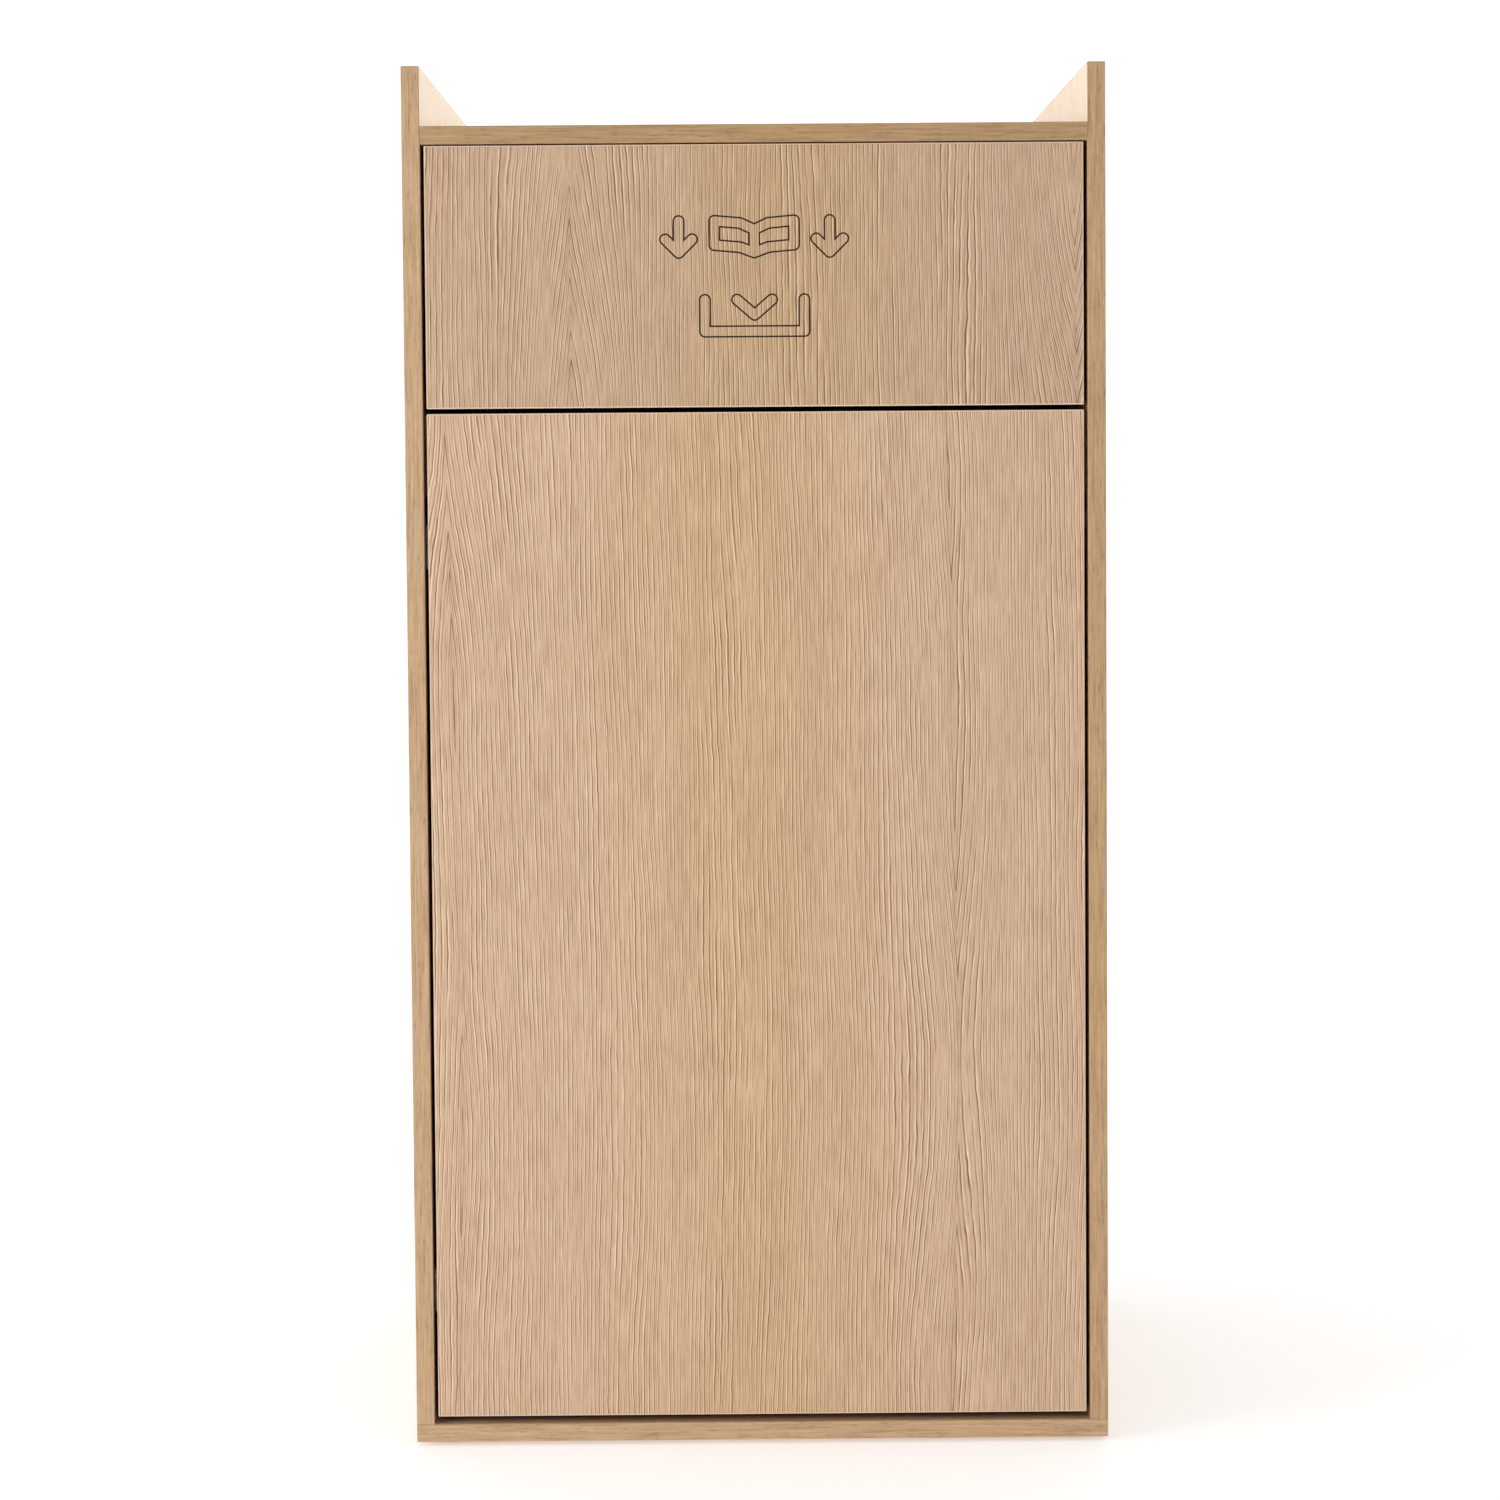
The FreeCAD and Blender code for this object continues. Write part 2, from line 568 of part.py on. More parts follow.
# ---------------------------------------------------------------- flap hinges and stops
def add_fixed_leaf(cabinet, name, axis, end_starts, end_length):
    """The leaf under the top board, with a knuckle at each end."""
    half = FLAP_HINGE_LENGTH / 2
    notch_half = MIDDLE_KNUCKLE / 2 + KNUCKLE_END_GAP
    clear = KNUCKLE_RADIUS + KNUCKLE_NOTCH_GAP
    plate = box(axis.x - half, axis.x + half, axis.y, axis.y + LEAF_WIDTH,
                TOP_UNDERSIDE - LEAF_THICKNESS, TOP_UNDERSIDE)
    notch = box(axis.x - notch_half, axis.x + notch_half, axis.y - clear, axis.y + clear,
                axis.z, TOP_UNDERSIDE)
    knuckles = [rod(KNUCKLE_RADIUS, start, RIGHT, end_length) for start in end_starts]
    bore = rod(FLAP_PIN_RADIUS + PRESS_GAP, axis - RIGHT * half, RIGHT, FLAP_HINGE_LENGTH)
    cabinet.add(name, fuse([plate.cut(notch)] + knuckles).cut(bore))


def add_moving_leaf(cabinet, name, axis, end_starts, end_length):
    """The leaf on the back of the flap, with the hollow middle knuckle."""
    half = FLAP_HINGE_LENGTH / 2
    clear = KNUCKLE_RADIUS + KNUCKLE_NOTCH_GAP
    plate = box(axis.x - half, axis.x + half, DOOR_BACK, DOOR_BACK + LEAF_THICKNESS,
                axis.z - LEAF_WIDTH, axis.z)
    notches = []
    for start in end_starts:
        notches.append(box(start.x - KNUCKLE_END_GAP, start.x + end_length + KNUCKLE_END_GAP,
                           DOOR_BACK, axis.y, axis.z - clear, axis.z))
    start = axis - RIGHT * (MIDDLE_KNUCKLE / 2)
    knuckle = rod(KNUCKLE_RADIUS, start, RIGHT, MIDDLE_KNUCKLE)
    bore = rod(KNUCKLE_BORE, start, RIGHT, MIDDLE_KNUCKLE)
    cabinet.add(name, fuse([plate.cut(notches), knuckle]).cut(bore))


def add_flap_pin(cabinet, name, axis):
    """The hinge's pin, with the bushes and the spring that sit on it."""
    half = FLAP_HINGE_LENGTH / 2
    cap_radius, cap_length = FLAP_PIN_CAP
    pin = rod(FLAP_PIN_RADIUS, axis - RIGHT * half, RIGHT, FLAP_HINGE_LENGTH)
    caps = [rod(cap_radius, axis - RIGHT * (half + cap_length), RIGHT, cap_length),
            rod(cap_radius, axis + RIGHT * half, RIGHT, cap_length)]
    cabinet.add(name + "_pin", fuse([pin] + caps))
    for offset in (-MIDDLE_KNUCKLE / 2, MIDDLE_KNUCKLE / 2 - BUSH_LENGTH):
        bush = tube(KNUCKLE_BORE - PRESS_GAP, FLAP_PIN_RADIUS + RUNNING_CLEARANCE,
                    axis + RIGHT * offset, RIGHT, BUSH_LENGTH)
        cabinet.add("flap_hinge_bushes", bush)
    spring_start = axis - RIGHT * (FLAP_SPRING_LENGTH / 2)
    spring = coil(FLAP_SPRING_RADIUS, FLAP_SPRING_WIRE, FLAP_SPRING_PITCH, FLAP_SPRING_LENGTH,
                  spring_start, True)
    cabinet.add(name + "_torsion_spring", spring)


def add_flap_hinge(cabinet, name, centre_x):
    """A spring hinge under the top board: the flap's own leaf has the middle knuckle."""
    axis = Vector(centre_x, FLAP_AXIS_Y, FLAP_AXIS_Z)
    half = FLAP_HINGE_LENGTH / 2
    end_length = half - MIDDLE_KNUCKLE / 2 - KNUCKLE_END_GAP
    end_starts = (axis - RIGHT * half, axis + RIGHT * (half - end_length))
    add_fixed_leaf(cabinet, name + "_fixed_leaf", axis, end_starts, end_length)
    add_moving_leaf(cabinet, name + "_moving_leaf", axis, end_starts, end_length)
    add_flap_pin(cabinet, name, axis)
    for offset in (-LEAF_SCREW_SPACING, 0, LEAF_SCREW_SPACING):
        top_place = Vector(centre_x + offset, axis.y + LEAF_SCREW_FROM_AXIS,
                           TOP_UNDERSIDE - LEAF_THICKNESS)
        add_screw(cabinet, "flap_hinge_top_screws", (name + "_fixed_leaf", "top_board"),
                  top_place, UP, LEAF_SCREW)
        flap_place = Vector(centre_x + offset, DOOR_BACK + LEAF_THICKNESS,
                            axis.z - LEAF_SCREW_FROM_AXIS)
        add_screw(cabinet, "flap_hinge_flap_screws", (name + "_moving_leaf", "flap_panel"),
                  flap_place, FORWARD, LEAF_SCREW)


def add_stop_pads(cabinet):
    """Thin rubber pads over the flap's front top edge: the flap can't swing out past them."""
    length, depth, thickness = STOP_PAD
    front = DOOR_FRONT + STOP_PAD_FROM_FRONT
    for x in (-STOP_PAD_X, STOP_PAD_X):
        cabinet.add("flap_stop_pads", box(x - length / 2, x + length / 2, front, front + depth,
                                          TOP_UNDERSIDE - thickness, TOP_UNDERSIDE))


# ---------------------------------------------------------------- door hinges
def add_hinge_cup(cabinet, name, cup_x, pivot):
    """The cup sunk in the door's back, its flange, and two ears that hold the pin."""
    mouth = Vector(cup_x, DOOR_BACK, pivot.z)
    flange_width, flange_height, flange_thickness = CUP_FLANGE
    body = rod(CUP_RADIUS - FIT, mouth, FORWARD, CUP_DEPTH - FIT)
    flange = box(cup_x - flange_width / 2, cup_x + flange_width / 2, DOOR_BACK,
                 DOOR_BACK + flange_thickness, pivot.z - flange_height / 2,
                 pivot.z + flange_height / 2)
    corners = [edge for edge in flange.Edges
               if abs(edge.CenterOfMass.y - DOOR_BACK - flange_thickness / 2) < NEARLY]
    flange = flange.makeFillet(CUP_FLANGE_CORNER, corners)
    hollow = rod(CUP_RADIUS - CUP_WALL, mouth + INWARD * flange_thickness, FORWARD,
                 CUP_DEPTH + flange_thickness - CUP_WALL)
    ears = []
    for sign in (-1, 1):
        ear_z = sorted(pivot.z + sign * offset for offset in EAR_FROM_MIDDLE)
        ears.append(box(pivot.x - EAR_HALF_WIDTH, pivot.x + EAR_HALF_WIDTH, pivot.y - EAR_FRONT,
                        pivot.y + EAR_BACK, ear_z[0], ear_z[1]))
    pin_start = pivot - UP * (DOOR_PIN_LENGTH / 2)
    bore = rod(DOOR_PIN_RADIUS + PRESS_GAP, pin_start - UP * HOLE_EXTRA, UP,
               DOOR_PIN_LENGTH + 2 * HOLE_EXTRA)
    cup = fuse([fuse([body, flange]).cut(hollow)] + ears)
    cabinet.add(name + "_cup", cup.cut(bore))
    cabinet.add(name + "_pin", rod(DOOR_PIN_RADIUS, pin_start, UP, DOOR_PIN_LENGTH))
    cabinet.pocket("door_panel", rod(CUP_RADIUS, mouth, FORWARD, CUP_DEPTH))
    for sign in (-1, 1):
        place = Vector(cup_x, DOOR_BACK + flange_thickness, pivot.z + sign * CUP_SCREW_SPACING / 2)
        add_screw(cabinet, "door_hinge_cup_screws", (name + "_cup", "door_panel"), place, FORWARD,
                  CUP_SCREW)


def add_hinge_arm(cabinet, name, pivot, cross_y):
    """The cranked strip from the pin round the door's edge and along the mounting plate."""
    low_z = pivot.z - ARM_WIDTH / 2
    high_z = pivot.z + ARM_WIDTH / 2
    half = ARM_THICKNESS / 2
    crank_x = pivot.x + ARM_REACH
    plate_face = -INNER + PLATE_THICKNESS
    leg_end = cross_y - half + PLATE_LENGTH - ARM_SHORT_OF_PLATE
    eye_start = Vector(pivot.x, pivot.y, low_z)
    runs = [
        box(pivot.x, crank_x + half, pivot.y - half, pivot.y + half, low_z, high_z),
        box(crank_x - half, crank_x + half, pivot.y - half, cross_y + half, low_z, high_z),
        box(plate_face, crank_x + half, cross_y - half, cross_y + half, low_z, high_z),
        box(plate_face, plate_face + ARM_THICKNESS, cross_y - half, leg_end, low_z, high_z),
        rod(ARM_EYE_RADIUS, eye_start, UP, ARM_WIDTH),
    ]
    bore = rod(DOOR_PIN_RADIUS + RUNNING_CLEARANCE, eye_start, UP, ARM_WIDTH)
    cabinet.add(name + "_arm", fuse(runs).cut(bore))


def add_hinge_plate(cabinet, name, z, plate_start):
    """The plate on the side panel, its screws, and the screw that holds the arm to it."""
    plate_face = -INNER + PLATE_THICKNESS
    plate = box(-INNER, plate_face, plate_start, plate_start + PLATE_LENGTH,
                z - PLATE_HEIGHT / 2, z + PLATE_HEIGHT / 2)
    corners = [edge for edge in plate.Edges
               if abs(edge.CenterOfMass.x + INNER - PLATE_THICKNESS / 2) < NEARLY]
    cabinet.add(name + "_mounting_plate", plate.makeFillet(PLATE_CORNER, corners))
    for sign in (-1, 1):
        place = Vector(plate_face, plate_start + PLATE_SCREW_ALONG, z + sign * PLATE_SCREW_UP)
        add_screw(cabinet, "door_hinge_plate_screws",
                  (name + "_mounting_plate", "left_side_panel"), place, LEFT, PLATE_SCREW)
    place = Vector(plate_face + ARM_THICKNESS, plate_start + ARM_SCREW_ALONG, z)
    add_screw(cabinet, "door_hinge_arm_screws",
              (name + "_arm", name + "_mounting_plate", "left_side_panel"), place, LEFT, ARM_SCREW)


def add_door_hinge(cabinet, name, z):
    """A concealed hinge: a cup in the door, and a cranked arm on a plate on the side panel."""
    pivot = Vector(DOOR_AXIS_X, DOOR_AXIS_Y, z)
    cross_y = pivot.y + ARM_RISE
    add_hinge_cup(cabinet, name, -DOOR_HALF + CUP_FROM_EDGE, pivot)
    add_hinge_arm(cabinet, name, pivot, cross_y)
    add_hinge_plate(cabinet, name, z, cross_y - ARM_THICKNESS / 2)


# ---------------------------------------------------------------- push latch
def add_latch_housing(cabinet, axis_x, front):
    """The housing, with a wing above and below that carries its screws."""
    inner_x = INNER - LATCH_SIZE
    back = front + LATCH_LENGTH
    housing = box(inner_x, INNER, front, back, LATCH_Z - LATCH_SIZE / 2, LATCH_Z + LATCH_SIZE / 2)
    long_edges = [edge for edge in housing.Edges
                  if abs(edge.CenterOfMass.x - inner_x) < NEARLY
                  and abs(edge.CenterOfMass.y - (front + back) / 2) < NEARLY]
    housing = housing.makeFillet(LATCH_ROUNDING, long_edges)
    wing_half = LATCH_SIZE / 2 + WING_REACH
    wing_start, wing_end = WING_FROM_FRONT
    wing = box(INNER - WING_THICKNESS, INNER, front + wing_start, front + wing_end,
               LATCH_Z - wing_half, LATCH_Z + wing_half)
    bore = rod(PLUNGER_BORE, Vector(axis_x, front, LATCH_Z), INWARD, LATCH_LENGTH - LATCH_END_WALL)
    cabinet.add("latch_housing", fuse([housing, wing]).cut(bore))
    for sign in (-1, 1):
        place = Vector(INNER - WING_THICKNESS, front + (wing_start + wing_end) / 2,
                       LATCH_Z + sign * (LATCH_SIZE / 2 + LATCH_SCREW_REACH))
        add_screw(cabinet, "latch_screws", ("latch_housing", "right_side_panel"), place, RIGHT,
                  LATCH_SCREW)


def add_latch(cabinet):
    """A push latch on the right side panel: its sprung plunger pushes the door ajar."""
    axis_x = INNER - LATCH_SIZE / 2
    front = DOOR_BACK + LATCH_BEHIND_DOOR
    add_latch_housing(cabinet, axis_x, front)

    strike_face = DOOR_BACK + STRIKE_THICKNESS
    tip = strike_face + PLUNGER_TIP_GAP
    plunger = rod(PLUNGER_RADIUS, Vector(axis_x, tip, LATCH_Z), INWARD, PLUNGER_LENGTH)
    rim = [edge for edge in plunger.Edges
           if abs(edge.CenterOfMass.y - tip) < NEARLY and len(edge.Vertexes) == 1]
    cabinet.add("latch_plunger", plunger.makeFillet(PLUNGER_ROUNDING, rim))

    spring_start = tip + PLUNGER_LENGTH + LATCH_SPRING_GAP
    spring_end = front + LATCH_LENGTH - LATCH_END_WALL - LATCH_SPRING_GAP
    spring = coil(LATCH_SPRING_RADIUS, LATCH_SPRING_WIRE, LATCH_SPRING_PITCH,
                  spring_end - spring_start, Vector(axis_x, spring_start, LATCH_Z), False)
    cabinet.add("latch_spring", spring)

    strike_x = axis_x - STRIKE_OFFSET
    strike = rod(STRIKE_RADIUS, Vector(strike_x, DOOR_BACK, LATCH_Z), INWARD, STRIKE_THICKNESS)
    cabinet.add("latch_strike", strike)
    place = Vector(strike_x - STRIKE_SCREW_OFFSET, strike_face, LATCH_Z)
    add_screw(cabinet, "latch_strike_screw", ("latch_strike", "door_panel"), place, FORWARD,
              STRIKE_SCREW)


# ---------------------------------------------------------------- bin
def add_bin(cabinet):
    """A tapered plastic tub with a turned-down rim, which is deeper at the two hand grips.

    It stands on a low ring round its raised floor.
    """
    bottom = BASE_TOP
    top = BASE_TOP + BIN_HEIGHT
    foot_height, foot_width = BIN_FOOT
    shells = []
    for inset, floor in ((0, bottom), (BIN_WALL, bottom + foot_height + BIN_WALL)):
        lower = rounded_square(BIN_BOTTOM_HALF - inset, BIN_CORNER_BOTTOM - inset, BIN_Y, floor)
        upper = rounded_square(BIN_TOP_HALF - inset, BIN_CORNER_TOP - inset, BIN_Y, top)
        shells.append(Part.makeLoft([lower, upper], True, True))
    outside, inside = shells
    rim_corner = BIN_CORNER_TOP + BIN_RIM_HALF - BIN_TOP_HALF
    rim = level_plate(BIN_RIM_HALF, rim_corner, BIN_Y, top - BIN_WALL, BIN_WALL)
    lip_low = top - BIN_LIP_HEIGHT
    lip = level_plate(BIN_RIM_HALF, rim_corner, BIN_Y, lip_low, BIN_LIP_HEIGHT).cut(
        level_plate(BIN_RIM_HALF - BIN_WALL, rim_corner - BIN_WALL, BIN_Y, lip_low,
                    BIN_LIP_HEIGHT))
    grip_length, grip_height = BIN_GRIP
    grips = []
    for low_x in (-BIN_RIM_HALF, BIN_RIM_HALF - BIN_WALL):
        grips.append(box(low_x, low_x + BIN_WALL, BIN_Y - grip_length / 2,
                         BIN_Y + grip_length / 2, top - grip_height, top))
    raised = level_plate(BIN_BOTTOM_HALF - foot_width, BIN_CORNER_BOTTOM - foot_width, BIN_Y,
                         bottom, foot_height)
    tub = fuse([outside, rim, lip] + grips).cut([inside, raised])
    cabinet.add("collection_bin", tub)


def build():
    cabinet = Cabinet()
    add_boards(cabinet)
    cut_pictogram(cabinet)
    join_boards(cabinet)
    add_glides(cabinet)
    for side, sign in (("left", -1), ("right", 1)):
        add_flap_hinge(cabinet, f"flap_{side}_hinge", sign * FLAP_HINGE_X)
    add_stop_pads(cabinet)
    for level, z in zip(("lower", "upper"), DOOR_HINGE_Z):
        add_door_hinge(cabinet, f"door_{level}_hinge", z)
    add_latch(cabinet)
    add_bin(cabinet)
    return cabinet


os.makedirs("parts", exist_ok=True)
cabinet = build()
for node in cabinet.solids:
    shape = cabinet.finished(node)
    shape.exportStep(f"parts/{node}.step")
    print(node, len(shape.Solids), "solids", shape.isValid(), round(shape.Volume))
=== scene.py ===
import json
import math
from collections import namedtuple

import bmesh
import bpy
from mathutils import Matrix, Vector


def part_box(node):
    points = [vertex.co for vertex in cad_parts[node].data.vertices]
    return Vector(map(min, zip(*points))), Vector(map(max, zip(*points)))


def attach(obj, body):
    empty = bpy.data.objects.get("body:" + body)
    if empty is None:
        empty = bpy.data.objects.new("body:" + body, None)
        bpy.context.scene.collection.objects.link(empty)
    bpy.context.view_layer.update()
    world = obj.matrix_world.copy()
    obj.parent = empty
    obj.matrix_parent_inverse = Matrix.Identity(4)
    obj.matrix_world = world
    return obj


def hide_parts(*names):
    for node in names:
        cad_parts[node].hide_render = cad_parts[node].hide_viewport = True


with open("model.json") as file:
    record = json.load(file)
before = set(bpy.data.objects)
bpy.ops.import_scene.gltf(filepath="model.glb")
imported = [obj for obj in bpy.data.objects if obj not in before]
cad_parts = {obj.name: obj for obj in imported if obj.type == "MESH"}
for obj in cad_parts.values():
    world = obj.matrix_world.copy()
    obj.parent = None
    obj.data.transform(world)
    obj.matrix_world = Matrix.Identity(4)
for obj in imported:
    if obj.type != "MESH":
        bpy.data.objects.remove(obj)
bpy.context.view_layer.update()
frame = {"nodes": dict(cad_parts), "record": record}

MM = 0.001

# ---------------------------------------------------------------- camera and light
CAMERA_PLACE = (-0.0203, -3.5632, 0.8568)
CAMERA_YAW = -0.247         # degrees, about +Z
CAMERA_PITCH = 3.147        # degrees, looking down
CAMERA_ROLL = 0.418         # degrees
CAMERA_SHIFT_Y = -0.0567
LENS_MM = 91.38
SENSOR_MM = 36.0

WORLD_STRENGTH = 0.665
KEY_PLACE = (-3.2, -2.4, 0.9)
KEY_TARGET = (0, 0, 0.6)
KEY_SIZE = (1.6, 2.0)
KEY_WATTS = 58
RAIL_LIGHT_OUT = 1.6        # how far to the other side of the cabinet each rail's softbox stands
RAIL_LIGHT_BACK = 0.3
RAIL_LIGHT_HEIGHT = 1.9
RAIL_TARGET = (0.28, 0, 1.16)
RAIL_LIGHT_SIZE = (0.8, 0.8)
RAIL_LIGHT_COLOUR = (0.68, 0.88, 1.0)
RAIL_LIGHTS = (("left", -1, 68), ("right", 1, 58))      # side, its sign on X, watts

SWEEP_HALF_WIDTH = 7.0
SWEEP_FRONT = -7.0
SWEEP_BEND_START = 3.0
SWEEP_BEND_RADIUS = 1.5
SWEEP_BEND_STEPS = 16
SWEEP_TOP = 6.0
SWEEP_WHITES = (0.90, 0.93)
SWEEP_GLOW = 0.36           # the backdrop is lit from behind
SWEEP_ROUGHNESS = 0.9


# ---------------------------------------------------------------- colours, linear
def from_srgb(red, green, blue):
    """Linear colour from 0 to 255 screen values, by the sRGB curve."""
    linear = []
    for value in (red, green, blue):
        part = value / 255
        linear.append(part / 12.92 if part <= 0.04045 else ((part + 0.055) / 1.055) ** 2.4)
    return tuple(linear)


def tinted(colours, factors):
    """Each colour with its red, green and blue multiplied by the three factors."""
    return tuple(tuple(part * factor for part, factor in zip(colour, factors))
                 for colour in colours)


LAMINATE_DARK = from_srgb(134, 96, 62)
LAMINATE_LOW = from_srgb(178, 142, 108)
LAMINATE_MID = from_srgb(206, 171, 138)
LAMINATE_HIGH = from_srgb(246, 216, 186)
LAMINATE_STOPS = ((0.0, LAMINATE_DARK), (0.32, LAMINATE_LOW),
                  (0.56, LAMINATE_MID), (1.0, LAMINATE_HIGH))
PINK_TINT = (0.957, 0.964, 0.988)
YELLOW_TINT = (0.933, 0.920, 0.830)
CORE_CHIP_DARK = from_srgb(120, 86, 54)
CORE_CHIP_LIGHT = from_srgb(196, 162, 118)
GROOVE_BROWN = from_srgb(60, 22, 6)     # the bottom of the flap's engraved lines
# Each edge band's dark, middle and light tone
TAN_BAND = (from_srgb(130, 95, 62), from_srgb(191, 156, 118), from_srgb(213, 181, 147))
# The door's and flap's bands are painted pale all over: a painted highlight for light caught
# along their rounded edges
PAINTED_HIGHLIGHT_BAND = (from_srgb(190, 156, 126), from_srgb(226, 198, 172), from_srgb(240, 218, 196))
# The right side panel's band is the tan band painted darker: painted shade for light falling off
# towards the right
RIGHT_PAINTED_SHADE_BAND = tinted(TAN_BAND, (0.93, 0.90, 0.84))
# The top board's band is the tan band painted darker still: painted shade for less light towards
# the top
TOP_PAINTED_SHADE_BAND = tinted(TAN_BAND, (0.80, 0.77, 0.66))
BAND_TONES = (0.0, 0.55, 1.0)

# ---------------------------------------------------------------- patterns
# Noise that swings by size either way. across and along are its scales for each metre across and
# along the grain, and offset is added to the seed of the material.
Waves = namedtuple("Waves", "across along size offset detail roughness", defaults=(2.0, 0.5))

# A ring's two lines, in parts of the ring spacing, with the seed offset of its random strength,
# the least strength, how much of the strength is random, and what breaks the lines up.
RingLine = namedtuple("RingLine", "dark_width light_width offset least spread breaks")

WANDER = Waves(0.5, 1.2, 0.020, 2, 1.0)
ARCHES = Waves(1.2, 1.7, 0.036, 3, 1.0, 0.4)
RING_BANDS = Waves(9.0, 0.4, 0.028, 0, 1.0, 0.4)
DRIFT = Waves(24.0, 4.5, 0.0050, 11, 1.0)
WOBBLE = Waves(120.0, 48.0, 0.0008, 23, 1.0)
FIBRES = Waves(360.0, 34.0, 1.0, 53, 2.0, 0.6)
CLOUDS = Waves(30.0, 5.0, 0.10, 61, 3.0, 0.6)
HUE = Waves(5.0, 0.8, 1.0, 83, 1.0)
MAIN_LINE = RingLine(0.27, 0.30, 5, 0.40, 0.55, Waves(80.0, 14.0, 1.5, 31, 2.0, 0.6))
FINE_LINE = RingLine(0.24, 0.24, 41, 0.0, 0.9, Waves(90.0, 17.0, 1.5, 37, 2.0, 0.6))

RING_SPACING = 3.9 * MM
FOLD_SPACING = 0.43         # from one line of arches to the next, across the board
ARCH_REACH = 0.085          # how far either side of such a line the rings bend
FOLD_BLUR = 5 * MM          # how far either side of it the rings' pale lines fade
DARK_FULL = -0.05           # parts of the ring spacing, from where the two lines meet
DARK_END = 0.04
LIGHT_START = -0.02
LIGHT_FULL = 0.06
LIGHT_FADES = 0.10
FINE_PLACE = 0.35           # where a fine line lies between two rings, at the least
FINE_JITTER = 0.3
FINE_JITTER_OFFSET = 47
FINE_SHARE = 0.4            # a fine line's strength beside a main one's

MIDDLE_TONE = 0.575
DARK_TONE = -0.80
LIGHT_TONE = 0.42
FIBRE_TONE = 0.24
DARK_HEIGHT = -1.0
LIGHT_HEIGHT = 0.3
FIBRE_HEIGHT = 0.15

YELLOW_HUES = (-0.2, 0.5)
YELLOW_REACH = (0.02, 0.15)     # from the middle of the yellow stripe to where it has faded
YELLOW_RAGGED = 0.05
SHEET_THICKNESS = 0.15 * MM     # the laminate on the core
SHEET_BLEND = 0.10 * MM
LAMINATE_ROUGHNESS = 0.42
TONE_SHINE = -0.10
LAMINATE_EMBOSS = 0.10 * MM
LAMINATE_BUMP = 0.45
CHIP_SCALE = 520.0

FACING_LEAST = 0.7          # the least share of the normal on an axis that a surface faces
BAND_BEND = Waves(30.0, 9.0, 0.0015, 0)
STRIPES = Waves(520.0, 16.0, 1.0, 3, 3.0, 0.7)
DASHES = Waves(1000.0, 80.0, 1.0, 9, 2.0)
DASH_EDGES = (0.1, 0.5)
BAND_CLOUDS = Waves(60.0, 18.0, 0.16, 15, 3.0, 0.6)
BAND_MIDDLE_TONE = 0.57
STRIPE_TONE = 0.70
DASH_TONE = -0.34
BAND_ROUGHNESS = 0.45
BAND_EMBOSS = 0.05 * MM
BAND_BUMP = 0.4
FIRST_BAND_SEED = 70.0
BAND_SEED_STEP = 8

METAL_GRAIN = Waves(900.0, 900.0, 1.0, 0, 3.0)
METAL_WEAR = Waves(160.0, 160.0, 1.0, 4, 3.0)
WEAR_EDGES = (-0.5, 0.7)
WORN_SHADE = 0.8
METAL_ROUGHNESS_SWING = 0.07
METAL_EMBOSS = 0.02 * MM
METAL_BUMP = 0.3
GRIT_DETAIL = 3.0
SCUFFS = Waves(30.0, 14.0, 1.0, 0, 4.0, 0.7)
SCUFF_EDGES = (0.0, 0.8)
SCUFF_GAIN = 1.22
SCUFF_LIFT = 0.01
SCUFF_ROUGHNESS = 0.08
PLASTIC_BUMP = 0.5
MOTTLE = Waves(0.8, 0.8, 1.0, 0)
MOTTLE_SEED = 2.0

# ---------------------------------------------------------------- boards
# across, along and through are axis letters: across the grain, along it, and through the board.
# fold_at is where, across the grain, a line of arches runs, and slope is how steeply the arches
# point along it. tint_centre is the middle of a yellow stripe, core is the core's colour where it
# isn't chipboard, and shade multiplies the colour of the board's wide faces; below 1 it is
# painted shade.
Board = namedtuple("Board", "node across along through seed fold_at tint_centre core shade slope",
                   defaults=(None, None, 1.0, 0.0))
BOARDS = (
    Board("door_panel", "x", "z", "y", 3.0, 0.165, tint_centre=-0.005),
    # The flap's shade of 0.905 is painted shade: its laminate is darkened for less light at the
    # top of the front
    Board("flap_panel", "x", "z", "y", 6.0, -0.156, tint_centre=0.035, core=GROOVE_BROWN,
          shade=0.905, slope=0.11),
    Board("left_side_panel", "y", "z", "x", 19.0, -0.06),
    Board("right_side_panel", "y", "z", "x", 27.0, 0.09),
    Board("back_panel", "x", "z", "y", 35.0, 0.05),
    Board("top_board", "y", "x", "z", 43.0, 0.02),
    Board("base_board", "y", "x", "z", 51.0, 0.0),
    Board("front_rail", "z", "x", "y", 59.0, 0.8),
)
# For each way that a strip of edge band may face, the axis that it runs along
UPRIGHT = {"x": "z", "y": "z", "z": "y"}
LEVEL = {"x": "y", "y": "x", "z": "x"}
LEAF = {"x": "z", "y": "z", "z": "x"}
EDGE_BANDS = (
    ("left_side_panel", UPRIGHT, TAN_BAND),
    ("right_side_panel", UPRIGHT, RIGHT_PAINTED_SHADE_BAND),
    ("top_board", LEVEL, TOP_PAINTED_SHADE_BAND),
    ("base_board", LEVEL, TAN_BAND),
    ("back_panel", LEVEL, TAN_BAND),
    ("front_rail", LEVEL, TAN_BAND),
    ("door_panel", LEAF, PAINTED_HIGHLIGHT_BAND),
    ("flap_panel", LEAF, PAINTED_HIGHLIGHT_BAND),
)

# ---------------------------------------------------------------- bin
BIN_WALL = 3 * MM
BIN_FOOT_IN = 46 * MM       # from the rim's widest line in to the foot of the wall
BIN_TOP_IN = 14 * MM        # and to the top of the wall
FOOT_CORNER = 45 * MM
CORNER_GROWTH = 0.52        # how much a corner's radius grows for each unit that the wall widens
CORNER_STEPS = 10
SIDE_STEPS = 16
